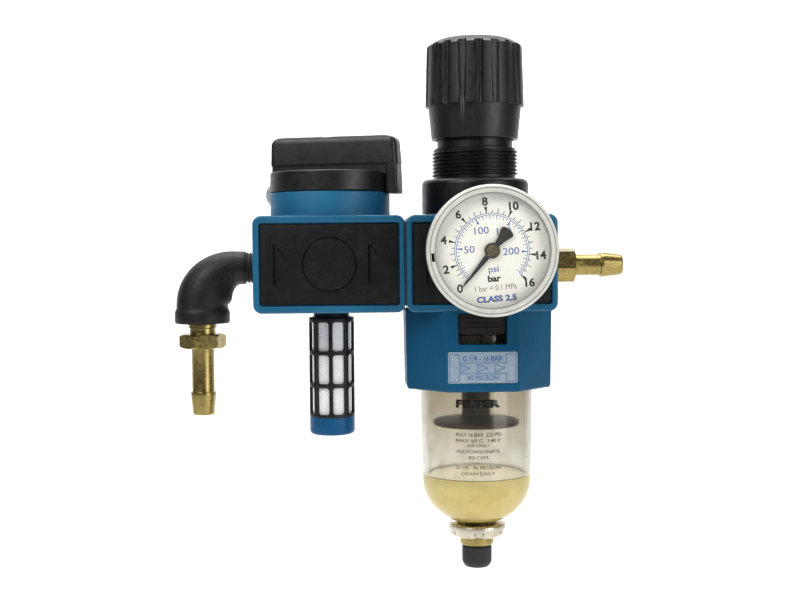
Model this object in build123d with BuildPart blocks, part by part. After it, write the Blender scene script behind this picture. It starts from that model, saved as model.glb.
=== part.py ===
"""Two-module compressed-air service unit: an on-off valve and a filter regulator, in millimetres.

+Z is up, the front faces -Y and the rear mounting faces lie at Y = 0. The ports run along the line
Y = PORT_Y, Z = 0, and the modules meet at X = 0. The origin is the centre of the rear mounting holes.
"""

from build123d import *
import math
import os

# Driving dimensions, shared by both modules
MODULE_WIDTH = 61.0
MODULE_DEPTH = 57.0
BLOCK_TOP = 21.0
BLOCK_BOTTOM = -18.0
CORNER_RADIUS = 3.5
JOINT_GAP = 0.3
PORT_Y = -28.0
PORT_BORE_RADIUS = 4.5
PORT_THREAD_RADIUS = 6.58
PORT_THREAD_DEPTH = 12.0
VALVE_X = -MODULE_WIDTH / 2
REGULATOR_X = MODULE_WIDTH / 2
BLOCK_HEIGHT = BLOCK_TOP - BLOCK_BOTTOM
BLOCK_CENTRE_Z = (BLOCK_TOP + BLOCK_BOTTOM) / 2
RUNNING_FIT = 0.06
CLEARANCE = 0.3

# Rear mounting holes, tapped M5
MOUNT_SPACING_X = 97.0
MOUNT_SPACING_Z = 24.0
MOUNT_HOLE_RADIUS = 2.1
MOUNT_HOLE_DEPTH = 10.0

# Studs across the joint between the modules
STUD_SPACING_Y = 40.0
STUD_SPACING_Z = 25.0
STUD_RADIUS = 2.5
STUD_DEPTH = 10.0
JOINT_SEAL_INNER = 7.5
JOINT_SEAL_OUTER = 9.8
JOINT_SEAL_DEPTH = 2.0

# Black cover panels on the front of both blocks
PANEL_WIDTH = 54.8
PANEL_HEIGHT = 31.9
PANEL_GAP = 0.65
PANEL_RECESS = 2.2
PANEL_THICKNESS = 1.6
PANEL_CORNER = 1.2
PANEL_DISC_RADIUS = 10.5
ARROW_LENGTH = 7.0
ARROW_HEIGHT = 18.6
ARROW_OFFSET = 18.9
EMBOSS = 0.35
PEG_RADIUS = 1.5
PEG_SPACING_X = 48.0
PEG_SPACING_Z = 24.0

# On-off valve: turret, rotary plug and bar knob
TURRET_RADIUS = 25.0
TURRET_TOP = 31.0
ROTOR_RADIUS = 13.0
ROTOR_BOTTOM = -8.0
ROTOR_TOP = 12.0
SPINDLE_RADIUS = 5.0
SPINDLE_TOP = 47.0
KNOB_DISC_BOTTOM = TURRET_TOP + CLEARANCE
KNOB_DISC_TOP = 41.0
KNOB_BAR_BOTTOM = 42.2
KNOB_BAR_TOP = 54.7
KNOB_BAR_HALF_WIDTH = 5.0
KNOB_BAR_LEFT = 24.7
KNOB_BAR_RIGHT = 30.5
KNOB_TAB_INNER = 25.3
KNOB_BOSS_RADIUS = 7.0
KNOB_TAB_BOTTOM = 30.3
KNOB_REST_TURN = -17.0
DETENT_OFFSET = 15.0
POST_X = -52.6
POST_Z = 31.1
POST_SCREW_RADIUS = 6.3

# Silencer under the valve
SILENCER_RADIUS = 9.5
SILENCER_TOP = -19.0
SILENCER_CAGE_TOP = -21.0
SILENCER_CAGE_BOTTOM = -63.0
SILENCER_CAP_BOTTOM = -70.3
WINDOW_COUNT = 10
WINDOW_WIDTH = 4.15
WINDOW_HEIGHT = 11.9
WINDOW_PITCH = 13.6
FIRST_WINDOW_Z = -29.0
FIRST_WINDOW_TURN = -74.6
SILENCER_NECK_RADIUS = 7.3
SILENCER_ELEMENT_RADIUS = 7.75

# Inlet elbow and the hose barbs
ELBOW_X = -84.6
ELBOW_MOUTH_X = -66.0
ELBOW_MOUTH_RADIUS = 6.9
ELBOW_RADIUS = 10.8
ELBOW_BEND = 15.5
ELBOW_BORE = 5.0
ELBOW_BOTTOM = -24.0
ELBOW_BAND_RADIUS = 11.5
ELBOW_BAND_HEIGHT = 5.4
PORT_THREAD_PITCH = 1.34
PORT_THREAD_ROOT = 5.9
BARB_BORE = 3.0
BARB_RADIUS = 5.25
BARB_TIP_RADIUS = 4.1
BARB_RELIEF_RADIUS = 4.95
INLET_HEX_ACROSS_FLATS = 17.0
OUTLET_HEX_ACROSS_FLATS = 13.0

# Regulator: bonnet, adjusting knob and what they hold
BONNET_COLLAR_RADIUS = 22.35
BONNET_COLLAR_TOP = 36.2
BONNET_THREAD_RADIUS = 18.0
BONNET_THREAD_PITCH = 1.5
BONNET_THREAD_TOP = 49.2
BONNET_NECK_RADIUS = 15.75
BONNET_TOP = 66.0
BONNET_BORE_RADIUS = 13.0
BONNET_ROOF = 58.0
KNOB_SKIRT_BOTTOM = 52.8
KNOB_SKIRT_TOP = 66.7
KNOB_CROWN_TOP = 92.0
KNOB_TOP = 95.0
KNOB_RIB_COUNT = 18
KNOB_RIB_WIDTH = 3.9
ADJUSTER_RADIUS = 4.0
SPRING_NUT_BOTTOM = 50.0
SPRING_NUT_THICKNESS = 4.0
DIAPHRAGM_RADIUS = 20.3
DIAPHRAGM_SEAT_Z = 19.0
DIAPHRAGM_THICKNESS = 1.2
SPRING_WIRE_RADIUS = 1.3
SPRING_RADIUS = 10.2
SPRING_BOTTOM = 23.4

# Regulator: the valve under the diaphragm
CHAMBER_RADIUS = 18.0
CHAMBER_FLOOR = 8.0
VALVE_BORE_RADIUS = 7.0
VALVE_BORE_TOP = 5.5
SEAT_RADIUS = 4.0

# Filter guard, bowl and drain
GUARD_BOTTOM = -50.5
GUARD_SCREW_SPACING_X = 49.6
GUARD_SCREW_SPACING_Y = 25.6
GUARD_BORE_RADIUS = 24.3
GUARD_FRONT_HALF_WIDTH = 15.2
GUARD_SIDE_HALF_WIDTH = 30.3
GUARD_FACET_Y = 16.0
GUARD_TAPER = 0.9
GUARD_CEILING = -20.0
LATCH_HALF_WIDTH = 9.8
LATCH_TOP = -18.6
LATCH_BOTTOM = -31.2
LABEL_WIDTH = 28.1
LABEL_HEIGHT = 12.7
LABEL_CENTRE_Z = -40.4
BOWL_TOP = -24.0
BOWL_RADIUS_TOP = 23.75
BOWL_RADIUS_BOTTOM = 23.0
BOWL_DOME_Z = -90.0
BOWL_BOTTOM = -108.9
BOWL_WALL = 2.0
DOME_TIP_RADIUS = 8.0
DRAIN_HOLE_RADIUS = 5.4
NUT_RADIUS = 12.35
NUT_STEP_RADIUS = 11.45
NUT_STEP_Z = -111.6
NUT_BOTTOM = -114.3
VANE_RADIUS = 21.3
BAFFLE_RADIUS = 18.25
BAFFLE_Z = -66.0
ELEMENT_RADIUS = 14.0
ELEMENT_TOP = -24.5
ELEMENT_BOTTOM = -48.5
DRAIN_BODY_RADIUS = 7.2
DRAIN_BODY_TOP = -104.8
DRAIN_BODY_BOTTOM = -118.4
DRAIN_STEM_RADIUS = 2.5
DRAIN_KNOB_BOTTOM = -128.0
DRAIN_KNOB_RADIUS = 6.35

# Pressure gauge on the regulator's front port
GAUGE_X = REGULATOR_X + 1.5
GAUGE_Z = 6.5
GAUGE_PORT_RADIUS = 4.9
GAUGE_THREAD_PITCH = 0.907
GAUGE_RADIUS = 25.25
GAUGE_FRONT_Y = -83.0
GAUGE_BACK_Y = -62.0
GAUGE_STEM_RADIUS = 4.86
DIAL_Y = -78.0
POINTER_LENGTH = 18.2
POINTER_ANGLE = 229.4
PINION_RADIUS = 1.9
SECTOR_DISTANCE = 12.6
SECTOR_RADIUS = 10.3
SECTOR_HALF_ANGLE = 29.0
SECTOR_REST_TURN = 24.5

OUT = "parts"
os.makedirs(OUT, exist_ok=True)


def upright(x, y=PORT_Y):
    """Plane through a vertical axis at (x, y): its local X is the radius and its local Y is the height."""
    return Plane(origin=(x, y, 0), x_dir=(1, 0, 0), z_dir=(0, -1, 0))


def facing(x, z):
    """Plane through an axis that runs front to back at (x, z): local Y is the model's Y."""
    return Plane(origin=(x, 0, z), x_dir=(1, 0, 0), z_dir=(0, 0, 1))


def sideways(y=PORT_Y, z=0.0):
    """Plane through an axis along X at (y, z): local Y is the model's X and local X points up."""
    return Plane(origin=(0, y, z), x_dir=(0, 0, 1), z_dir=(0, 1, 0))


VALVE = upright(VALVE_X)
REGULATOR = upright(REGULATOR_X)
GAUGE = facing(GAUGE_X, GAUGE_Z)
PORTS = sideways()


def turned(plane, *outline, mode=Mode.ADD):
    """Revolves a closed outline of (radius, distance along the axis) points about the plane's local Y."""
    with BuildSketch(plane) as section:
        with BuildLine():
            Polyline(*outline, close=True)
        make_face()
    revolve(section.sketch, axis=Axis(plane.origin, plane.y_dir), mode=mode)


def sleeve(plane, inner, outer, low, high, mode=Mode.ADD):
    """A straight tube, or a rod where the inner radius is 0, about the plane's local Y."""
    turned(plane, (inner, low), (outer, low), (outer, high), (inner, high), mode=mode)


def ridges(major, minor, low, high, pitch):
    """Outline points of the rings that stand for a screw thread, from low to high."""
    count = max(1, int((high - low) / pitch))
    step = (high - low) / count
    points = []
    for turn in range(count):
        start = low + turn * step
        points += [(minor, start + 0.05 * step), (major, start + 0.42 * step)]
        points += [(major, start + 0.58 * step), (minor, start + 0.95 * step)]
    return points


def threaded_rod(plane, major, minor, low, high, pitch, bore=0.0, mode=Mode.ADD):
    """A rod or tube whose outside carries the rings of a thread."""
    rings = ridges(major, minor, low, high, pitch)
    turned(plane, (bore, low), (minor, low), *rings, (minor, high), (bore, high), mode=mode)


def block(low_x, high_x):
    """A module's block, rounded along its front-to-back edges."""
    with BuildSketch(Plane.XZ) as front:
        with Locations(((low_x + high_x) / 2, BLOCK_CENTRE_Z)):
            RectangleRounded(high_x - low_x, BLOCK_HEIGHT, CORNER_RADIUS)
    extrude(front.sketch, amount=MODULE_DEPTH)


def panel_recess(x):
    """The pocket for a cover panel in the block's front, with the holes for its four pegs."""
    floor_y = -(MODULE_DEPTH - PANEL_RECESS)
    with BuildSketch(Plane.XZ.offset(-floor_y)) as pocket:
        with Locations((x, BLOCK_CENTRE_Z)):
            RectangleRounded(PANEL_WIDTH + 2 * PANEL_GAP, PANEL_HEIGHT + 2 * PANEL_GAP, PANEL_CORNER)
    extrude(pocket.sketch, amount=PANEL_RECESS + 1, mode=Mode.SUBTRACT)
    with BuildSketch(Plane.XZ.offset(-floor_y)) as pegs:
        with Locations((x, BLOCK_CENTRE_Z)):
            with GridLocations(PEG_SPACING_X, PEG_SPACING_Z, 2, 2):
                Circle(PEG_RADIUS)
    extrude(pegs.sketch, amount=-3.2, mode=Mode.SUBTRACT)


def rear_hole(x):
    """A module's two rear mounting holes, one over the other."""
    with BuildSketch(Plane.XZ) as holes:
        with Locations((x, MOUNT_SPACING_Z / 2), (x, -MOUNT_SPACING_Z / 2)):
            Circle(MOUNT_HOLE_RADIUS)
    extrude(holes.sketch, amount=MOUNT_HOLE_DEPTH, mode=Mode.SUBTRACT)


def stud_holes(x, depth):
    """Blind holes in a module's joint face for the joining studs."""
    with BuildSketch(Plane.YZ.offset(x)) as holes:
        with Locations((-MODULE_DEPTH / 2, BLOCK_CENTRE_Z)):
            with GridLocations(STUD_SPACING_Y, STUD_SPACING_Z, 2, 2):
                Circle(STUD_RADIUS)
    extrude(holes.sketch, amount=depth, mode=Mode.SUBTRACT)


def front_panel(x):
    """A cover panel: a thin plate on four pegs, with two arrows cut in it that point to the right."""
    back_y = MODULE_DEPTH - PANEL_RECESS
    front_y = back_y + PANEL_THICKNESS
    with BuildSketch(Plane.XZ.offset(back_y)) as plate:
        with Locations((x, BLOCK_CENTRE_Z)):
            RectangleRounded(PANEL_WIDTH, PANEL_HEIGHT, PANEL_CORNER)
    extrude(plate.sketch, amount=PANEL_THICKNESS)
    with BuildSketch(Plane.XZ.offset(back_y)) as pegs:
        with Locations((x, BLOCK_CENTRE_Z)):
            with GridLocations(PEG_SPACING_X, PEG_SPACING_Z, 2, 2):
                Circle(PEG_RADIUS)
    extrude(pegs.sketch, amount=-3)
    with BuildSketch(Plane.XZ.offset(front_y)) as arrows:
        for side in (-1, 1):
            left = x + side * ARROW_OFFSET - ARROW_LENGTH / 2
            with BuildLine():
                Polyline(
                    (left, BLOCK_CENTRE_Z - ARROW_HEIGHT / 2),
                    (left + ARROW_LENGTH, BLOCK_CENTRE_Z),
                    (left, BLOCK_CENTRE_Z + ARROW_HEIGHT / 2),
                    close=True,
                )
            make_face()
    extrude(arrows.sketch, amount=-EMBOSS, mode=Mode.SUBTRACT)


def hexagon(plane, across_flats, low, high, turn=0.0):
    """A hexagonal collar about the plane's local Y, its corners taken off by a cone at each end."""
    corner = across_flats / math.sqrt(3)
    base = Plane(plane.origin + plane.y_dir * low, x_dir=plane.x_dir, z_dir=plane.y_dir)
    with BuildPart(mode=Mode.PRIVATE) as prism:
        with BuildSketch(base) as flats:
            RegularPolygon(corner, 6, rotation=turn)
        extrude(flats.sketch, amount=high - low)
    inner = across_flats / 2 - 0.1
    lift = (corner - inner) * 0.5
    with BuildPart(mode=Mode.PRIVATE) as turning:
        turned(
            plane,
            (0, low),
            (inner, low),
            (corner, low + lift),
            (corner, high - lift),
            (inner, high),
            (0, high),
        )
    return prism.part & turning.part


def hose_barb(plane, tip, thread_end, thread_start, hex_low, hex_high, flats, shank_radius, barb_start, turn):
    """A brass hose barb about the plane's local Y, listed from its barbed tip to its thread."""
    way = 1 if thread_end > tip else -1
    outline = [
        (BARB_BORE, tip),
        (BARB_TIP_RADIUS, tip),
        (BARB_TIP_RADIUS + 0.25, tip + way * 0.6),
        (BARB_RADIUS, barb_start - way * 1.2),
        (BARB_RADIUS, barb_start),
        (shank_radius, barb_start),
        (shank_radius, hex_low + way * 0.5),
        (shank_radius, hex_high - way * 0.5),
        (BARB_RELIEF_RADIUS, hex_high - way * 0.5),
        (BARB_RELIEF_RADIUS, thread_start),
    ]
    low, high = sorted((thread_start, thread_end))
    rings = ridges(PORT_THREAD_RADIUS - 0.05, PORT_THREAD_ROOT, low, high, PORT_THREAD_PITCH)
    if way < 0:
        rings = rings[::-1]
    turned(
        plane,
        *outline,
        (PORT_THREAD_ROOT, thread_start),
        *rings,
        (PORT_THREAD_ROOT, thread_end),
        (BARB_BORE, thread_end),
    )
    low, high = sorted((hex_low, hex_high))
    add(hexagon(plane, flats, low, high, turn))
    sleeve(plane, 0, BARB_BORE, min(tip, thread_end) - 1, max(tip, thread_end) + 1, mode=Mode.SUBTRACT)


def seal_ring(plane, inner, outer, middle):
    """A round-section sealing ring about the plane's local Y."""
    section_radius = (outer - inner) / 2
    with BuildSketch(plane) as section:
        with Locations(((inner + outer) / 2, middle)):
            Circle(section_radius)
    revolve(section.sketch, axis=Axis(plane.origin, plane.y_dir))


def keep(node, name):
    """Labels a finished piece and writes its file."""
    node.part.label = name
    export_step(node.part, f"{OUT}/{name}.step")
    box = node.part.bounding_box()
    print(f"{name}: {len(node.part.solids())} solids, {node.part.volume:.0f} mm3, {box.min} {box.max}")


# ---------------------------------------------------------------- on-off valve: housing

with BuildPart() as valve_body:
    block(-MODULE_WIDTH, -JOINT_GAP)
    panel_recess(VALVE_X)
    rear_hole(-MOUNT_SPACING_X / 2)
    stud_holes(-JOINT_GAP, -STUD_DEPTH)
    # bore for the rotary plug, exhaust drilling and the silencer's thread below it
    sleeve(VALVE, 0, ROTOR_RADIUS + RUNNING_FIT, ROTOR_BOTTOM - 0.5, BLOCK_TOP + 1, mode=Mode.SUBTRACT)
    sleeve(VALVE, 0, 5.0, BLOCK_BOTTOM - 1, 0, mode=Mode.SUBTRACT)
    sleeve(VALVE, 0, PORT_THREAD_RADIUS, BLOCK_BOTTOM - 1, ROTOR_BOTTOM - 3, mode=Mode.SUBTRACT)
    # inlet thread and the through passage
    sleeve(
        PORTS, 0, PORT_THREAD_RADIUS, -MODULE_WIDTH - 1, -MODULE_WIDTH + PORT_THREAD_DEPTH, mode=Mode.SUBTRACT
    )
    sleeve(PORTS, 0, PORT_BORE_RADIUS, -MODULE_WIDTH, 1, mode=Mode.SUBTRACT)
    # groove for the seal ring in the joint face
    sleeve(PORTS, JOINT_SEAL_INNER, JOINT_SEAL_OUTER, -JOINT_SEAL_DEPTH, 1, mode=Mode.SUBTRACT)
    # tapped holes for the turret's screws
    with BuildSketch(Plane.XY.offset(BLOCK_TOP)) as turret_holes:
        with Locations((VALVE_X, PORT_Y)):
            with PolarLocations(19.5, 4, 45):
                Circle(1.6)
    extrude(turret_holes.sketch, amount=-9, mode=Mode.SUBTRACT)
    # post at the back left corner, with a short barrel for its screw
    with BuildSketch(Plane.XZ.offset(1.0)) as post:
        with Locations((POST_X, (BLOCK_TOP + POST_Z) / 2)):
            Rectangle(5.0, POST_Z - BLOCK_TOP)
        with Locations((POST_X, POST_Z)):
            Circle(4.5)
    extrude(post.sketch, amount=4.0)
    with BuildSketch(Plane.XZ.offset(5.0)) as post_hole:
        with Locations((POST_X, POST_Z)):
            Circle(2.0)
    extrude(post_hole.sketch, amount=-4.0, mode=Mode.SUBTRACT)
keep(valve_body, "valve_body")

with BuildPart() as valve_turret:
    turned(
        VALVE,
        (0, ROTOR_TOP + 0.4),
        (ROTOR_RADIUS, ROTOR_TOP + 0.4),
        (ROTOR_RADIUS, BLOCK_TOP),
        (TURRET_RADIUS, BLOCK_TOP),
        (TURRET_RADIUS, TURRET_TOP - 0.5),
        (TURRET_RADIUS - 0.5, TURRET_TOP),
        (0, TURRET_TOP),
    )
    sleeve(VALVE, 0, SPINDLE_RADIUS + RUNNING_FIT, 0, TURRET_TOP + 1, mode=Mode.SUBTRACT)
    sleeve(VALVE, 0, 7.1, 16.5, 19.0, mode=Mode.SUBTRACT)
    sleeve(VALVE, 0, 7.1, 27.0, TURRET_TOP + 1, mode=Mode.SUBTRACT)
    with Locations((VALVE_X, PORT_Y, TURRET_TOP)):
        with PolarLocations(19.5, 4, 45):
            CounterBoreHole(1.75, 3.1, 3.4)
    with BuildSketch(Plane.XY.offset(TURRET_TOP)) as detent_hole:
        with Locations((VALVE_X + DETENT_OFFSET, PORT_Y)):
            Circle(1.7)
    extrude(detent_hole.sketch, amount=-7.0, mode=Mode.SUBTRACT)
keep(valve_turret, "valve_turret")

with BuildPart() as spindle_seal:
    seal_ring(VALVE, SPINDLE_RADIUS + 0.09, 7.09, 17.75)
keep(spindle_seal, "spindle_seal")

with BuildPart() as spindle_bush:
    sleeve(VALVE, SPINDLE_RADIUS + RUNNING_FIT, 7.1, 27.0, TURRET_TOP - 0.2)
keep(spindle_bush, "spindle_bush")

with BuildPart() as turret_screws:
    for corner in range(4):
        angle = math.radians(45 + 90 * corner)
        axis = upright(VALVE_X + 19.5 * math.cos(angle), PORT_Y + 19.5 * math.sin(angle))
        sleeve(axis, 0, 1.5, BLOCK_TOP - 8, TURRET_TOP - 3.4)
        sleeve(axis, 0, 2.95, TURRET_TOP - 3.4, TURRET_TOP - 0.4)
        sleeve(axis, 0, 1.25, TURRET_TOP - 2.0, TURRET_TOP, mode=Mode.SUBTRACT)
keep(turret_screws, "turret_screws")

with BuildPart() as valve_front_panel:
    front_panel(VALVE_X)
    with BuildSketch(Plane.XZ.offset(MODULE_DEPTH - PANEL_RECESS + PANEL_THICKNESS)) as disc:
        with Locations((VALVE_X, BLOCK_CENTRE_Z)):
            Circle(PANEL_DISC_RADIUS)
    extrude(disc.sketch, amount=EMBOSS)
keep(valve_front_panel, "valve_front_panel")

with BuildPart() as post_screw:
    turned(
        facing(POST_X, POST_Z),
        (0, -8.0),
        (POST_SCREW_RADIUS - 1.0, -8.0),
        (POST_SCREW_RADIUS, -7.0),
        (POST_SCREW_RADIUS, -5.0),
        (1.98, -5.0),
        (1.98, -1.2),
        (0, -1.2),
    )
keep(post_screw, "post_screw")

# ---------------------------------------------------------------- on-off valve: moving group

BAR_AXIS = Plane(origin=(VALVE_X, PORT_Y, 0), x_dir=(1, 0, 0), z_dir=(0, 0, 1))
BAR_AXIS = BAR_AXIS.rotated((0, 0, KNOB_REST_TURN))
with BuildPart() as valve_rotor:
    turned(
        VALVE,
        (0, ROTOR_BOTTOM),
        (ROTOR_RADIUS, ROTOR_BOTTOM),
        (ROTOR_RADIUS, ROTOR_TOP),
        (SPINDLE_RADIUS, ROTOR_TOP),
        (SPINDLE_RADIUS, SPINDLE_TOP),
        (0, SPINDLE_TOP),
    )
    # cross bore, turned with the knob, and the exhaust groove a quarter turn from it
    flow = (math.cos(math.radians(KNOB_REST_TURN)), math.sin(math.radians(KNOB_REST_TURN)), 0)
    with BuildSketch(Plane(origin=(VALVE_X, PORT_Y, 0), x_dir=(0, 0, 1), z_dir=flow)) as cross_bore:
        Circle(PORT_BORE_RADIUS)
    extrude(cross_bore.sketch, amount=20, both=True, mode=Mode.SUBTRACT)
    with BuildSketch(BAR_AXIS.offset(ROTOR_BOTTOM)) as exhaust_groove:
        with Locations((0, 11.5)):
            Rectangle(7.0, 8.0)
    extrude(exhaust_groove.sketch, amount=12.0, mode=Mode.SUBTRACT)
    # square drive for the knob and the tapped hole for its screw
    with BuildSketch(Plane.XY.offset(40.0)) as drive:
        with Locations((VALVE_X, PORT_Y)):
            Circle(6.0)
            Rectangle(7.4, 7.4, rotation=KNOB_REST_TURN, mode=Mode.SUBTRACT)
    extrude(drive.sketch, amount=10.0, mode=Mode.SUBTRACT)
    sleeve(VALVE, 0, 1.6, SPINDLE_TOP - 11, SPINDLE_TOP + 1, mode=Mode.SUBTRACT)
    # grooves for the plug's seal rings
    for groove_z in (-6.6, 9.4):
        sleeve(VALVE, 11.6, ROTOR_RADIUS + 1, groove_z - 0.8, groove_z + 0.8, mode=Mode.SUBTRACT)
keep(valve_rotor, "valve_rotor")

with BuildPart() as rotor_seals:
    for groove_z in (-6.6, 9.4):
        seal_ring(VALVE, 11.62, 13.02, groove_z)
keep(rotor_seals, "rotor_seals")

with BuildPart() as valve_knob:
    turned(
        VALVE,
        (0, KNOB_DISC_BOTTOM),
        (TURRET_RADIUS + 0.1, KNOB_DISC_BOTTOM),
        (TURRET_RADIUS - 0.1, KNOB_DISC_TOP - 0.8),
        (TURRET_RADIUS - 0.7, KNOB_DISC_TOP),
        (0, KNOB_DISC_TOP),
    )
    # boss round the spindle and narrow web, which carry the bar over the disc
    sleeve(VALVE, 0, KNOB_BOSS_RADIUS, KNOB_DISC_TOP - 0.1, KNOB_BAR_BOTTOM + 0.1)
    with BuildSketch(BAR_AXIS.offset(KNOB_DISC_TOP)) as web:
        with Locations((1.5, 0)):
            Rectangle(45.0, 2 * KNOB_BAR_HALF_WIDTH - 3.0)
    extrude(web.sketch, amount=KNOB_BAR_BOTTOM - KNOB_DISC_TOP)
    with BuildSketch(BAR_AXIS.offset(KNOB_BAR_BOTTOM)) as bar:
        with Locations(((KNOB_BAR_RIGHT - KNOB_BAR_LEFT) / 2, 0)):
            RectangleRounded(KNOB_BAR_LEFT + KNOB_BAR_RIGHT, 2 * KNOB_BAR_HALF_WIDTH, 1.8)
    extrude(bar.sketch, amount=KNOB_BAR_TOP - KNOB_BAR_BOTTOM, taper=1.2)
    # tab that hangs down outside the turret
    with BuildSketch(BAR_AXIS.offset(KNOB_TAB_BOTTOM)) as tab:
        with Locations(((KNOB_BAR_RIGHT + KNOB_TAB_INNER) / 2, 0)):
            RectangleRounded(KNOB_BAR_RIGHT - KNOB_TAB_INNER, 2 * KNOB_BAR_HALF_WIDTH, 1.2)
    extrude(tab.sketch, amount=KNOB_BAR_BOTTOM - KNOB_TAB_BOTTOM + 1)
    with BuildSketch(BAR_AXIS.offset(40.0)) as socket:
        Rectangle(7.6, 7.6)
    extrude(socket.sketch, amount=SPINDLE_TOP - 40.0 + 0.1, mode=Mode.SUBTRACT)
    sleeve(VALVE, 0, SPINDLE_RADIUS + 0.1, KNOB_DISC_BOTTOM - 1, 40.1, mode=Mode.SUBTRACT)
    sleeve(VALVE, 0, 1.8, 45, 52, mode=Mode.SUBTRACT)
    sleeve(VALVE, 0, 3.4, 50.5, KNOB_BAR_TOP + 1, mode=Mode.SUBTRACT)
    # detent notches in the underside, at the closed and the open position
    with BuildSketch(BAR_AXIS.offset(KNOB_DISC_BOTTOM)) as notches:
        with Locations((DETENT_OFFSET, 0), (0, DETENT_OFFSET)):
            Circle(1.8)
    extrude(notches.sketch, amount=0.8, mode=Mode.SUBTRACT)
keep(valve_knob, "valve_knob")

with BuildPart() as knob_screw:
    sleeve(VALVE, 0, 1.5, SPINDLE_TOP - 9, 50.5)
    sleeve(VALVE, 0, 3.2, 50.5, 53.3)
    sleeve(VALVE, 0, 1.5, 51.6, 54, mode=Mode.SUBTRACT)
keep(knob_screw, "knob_screw")

with BuildPart() as detent_spring:
    for turn in range(4):
        seal_ring(upright(VALVE_X + DETENT_OFFSET), 0.75, 1.55, 24.6 + 0.9 * turn)
keep(detent_spring, "detent_spring")

with BuildPart() as detent_ball:
    with Locations((VALVE_X + DETENT_OFFSET, PORT_Y, 29.5)):
        Sphere(1.5)
keep(detent_ball, "detent_ball")

# ---------------------------------------------------------------- silencer

with BuildPart() as silencer_cage:
    neck_top = ROTOR_BOTTOM - 3.2
    thread = ridges(
        PORT_THREAD_RADIUS - 0.04, PORT_THREAD_ROOT, BLOCK_BOTTOM + 0.2, neck_top, PORT_THREAD_PITCH
    )
    turned(
        VALVE,
        (PORT_BORE_RADIUS, SILENCER_CAGE_BOTTOM),
        (SILENCER_RADIUS, SILENCER_CAGE_BOTTOM),
        (SILENCER_RADIUS, SILENCER_CAGE_TOP - 0.6),
        (SILENCER_RADIUS - 0.6, SILENCER_CAGE_TOP),
        (SILENCER_NECK_RADIUS + 0.35, SILENCER_CAGE_TOP),
        (SILENCER_NECK_RADIUS, SILENCER_TOP),
        (SILENCER_NECK_RADIUS, BLOCK_BOTTOM),
        (PORT_THREAD_ROOT, BLOCK_BOTTOM),
        *thread,
        (PORT_THREAD_ROOT, neck_top),
        (PORT_BORE_RADIUS, neck_top),
    )
    inside = SILENCER_ELEMENT_RADIUS + 0.05
    sleeve(VALVE, 0, inside, SILENCER_CAGE_BOTTOM - 1, SILENCER_CAGE_TOP - 1.2, mode=Mode.SUBTRACT)
    for row in range(3):
        centre_z = FIRST_WINDOW_Z - row * WINDOW_PITCH
        for spoke in range(WINDOW_COUNT):
            angle = 360 / WINDOW_COUNT * spoke + FIRST_WINDOW_TURN
            wall = Plane(
                origin=(VALVE_X, PORT_Y, centre_z),
                x_dir=(-math.sin(math.radians(angle)), math.cos(math.radians(angle)), 0),
                z_dir=(math.cos(math.radians(angle)), math.sin(math.radians(angle)), 0),
            )
            with BuildSketch(wall.offset(7.0)) as window:
                Rectangle(WINDOW_WIDTH, WINDOW_HEIGHT)
            extrude(window.sketch, amount=4, mode=Mode.SUBTRACT)
keep(silencer_cage, "silencer_cage")

with BuildPart() as silencer_element:
    sleeve(VALVE, 4.0, SILENCER_ELEMENT_RADIUS, SILENCER_CAGE_BOTTOM, SILENCER_CAGE_TOP - 1.4)
keep(silencer_element, "silencer_element")

with BuildPart() as silencer_cap:
    turned(
        VALVE,
        (0, SILENCER_CAP_BOTTOM),
        (SILENCER_RADIUS - 1.5, SILENCER_CAP_BOTTOM),
        (SILENCER_RADIUS - 0.4, SILENCER_CAP_BOTTOM + 0.5),
        (SILENCER_RADIUS, SILENCER_CAP_BOTTOM + 1.6),
        (SILENCER_RADIUS, SILENCER_CAGE_BOTTOM),
        (3.9, SILENCER_CAGE_BOTTOM),
        (3.9, SILENCER_CAGE_BOTTOM + 6),
        (0, SILENCER_CAGE_BOTTOM + 6),
    )
keep(silencer_cap, "silencer_cap")

# ---------------------------------------------------------------- inlet elbow and barbs

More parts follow.
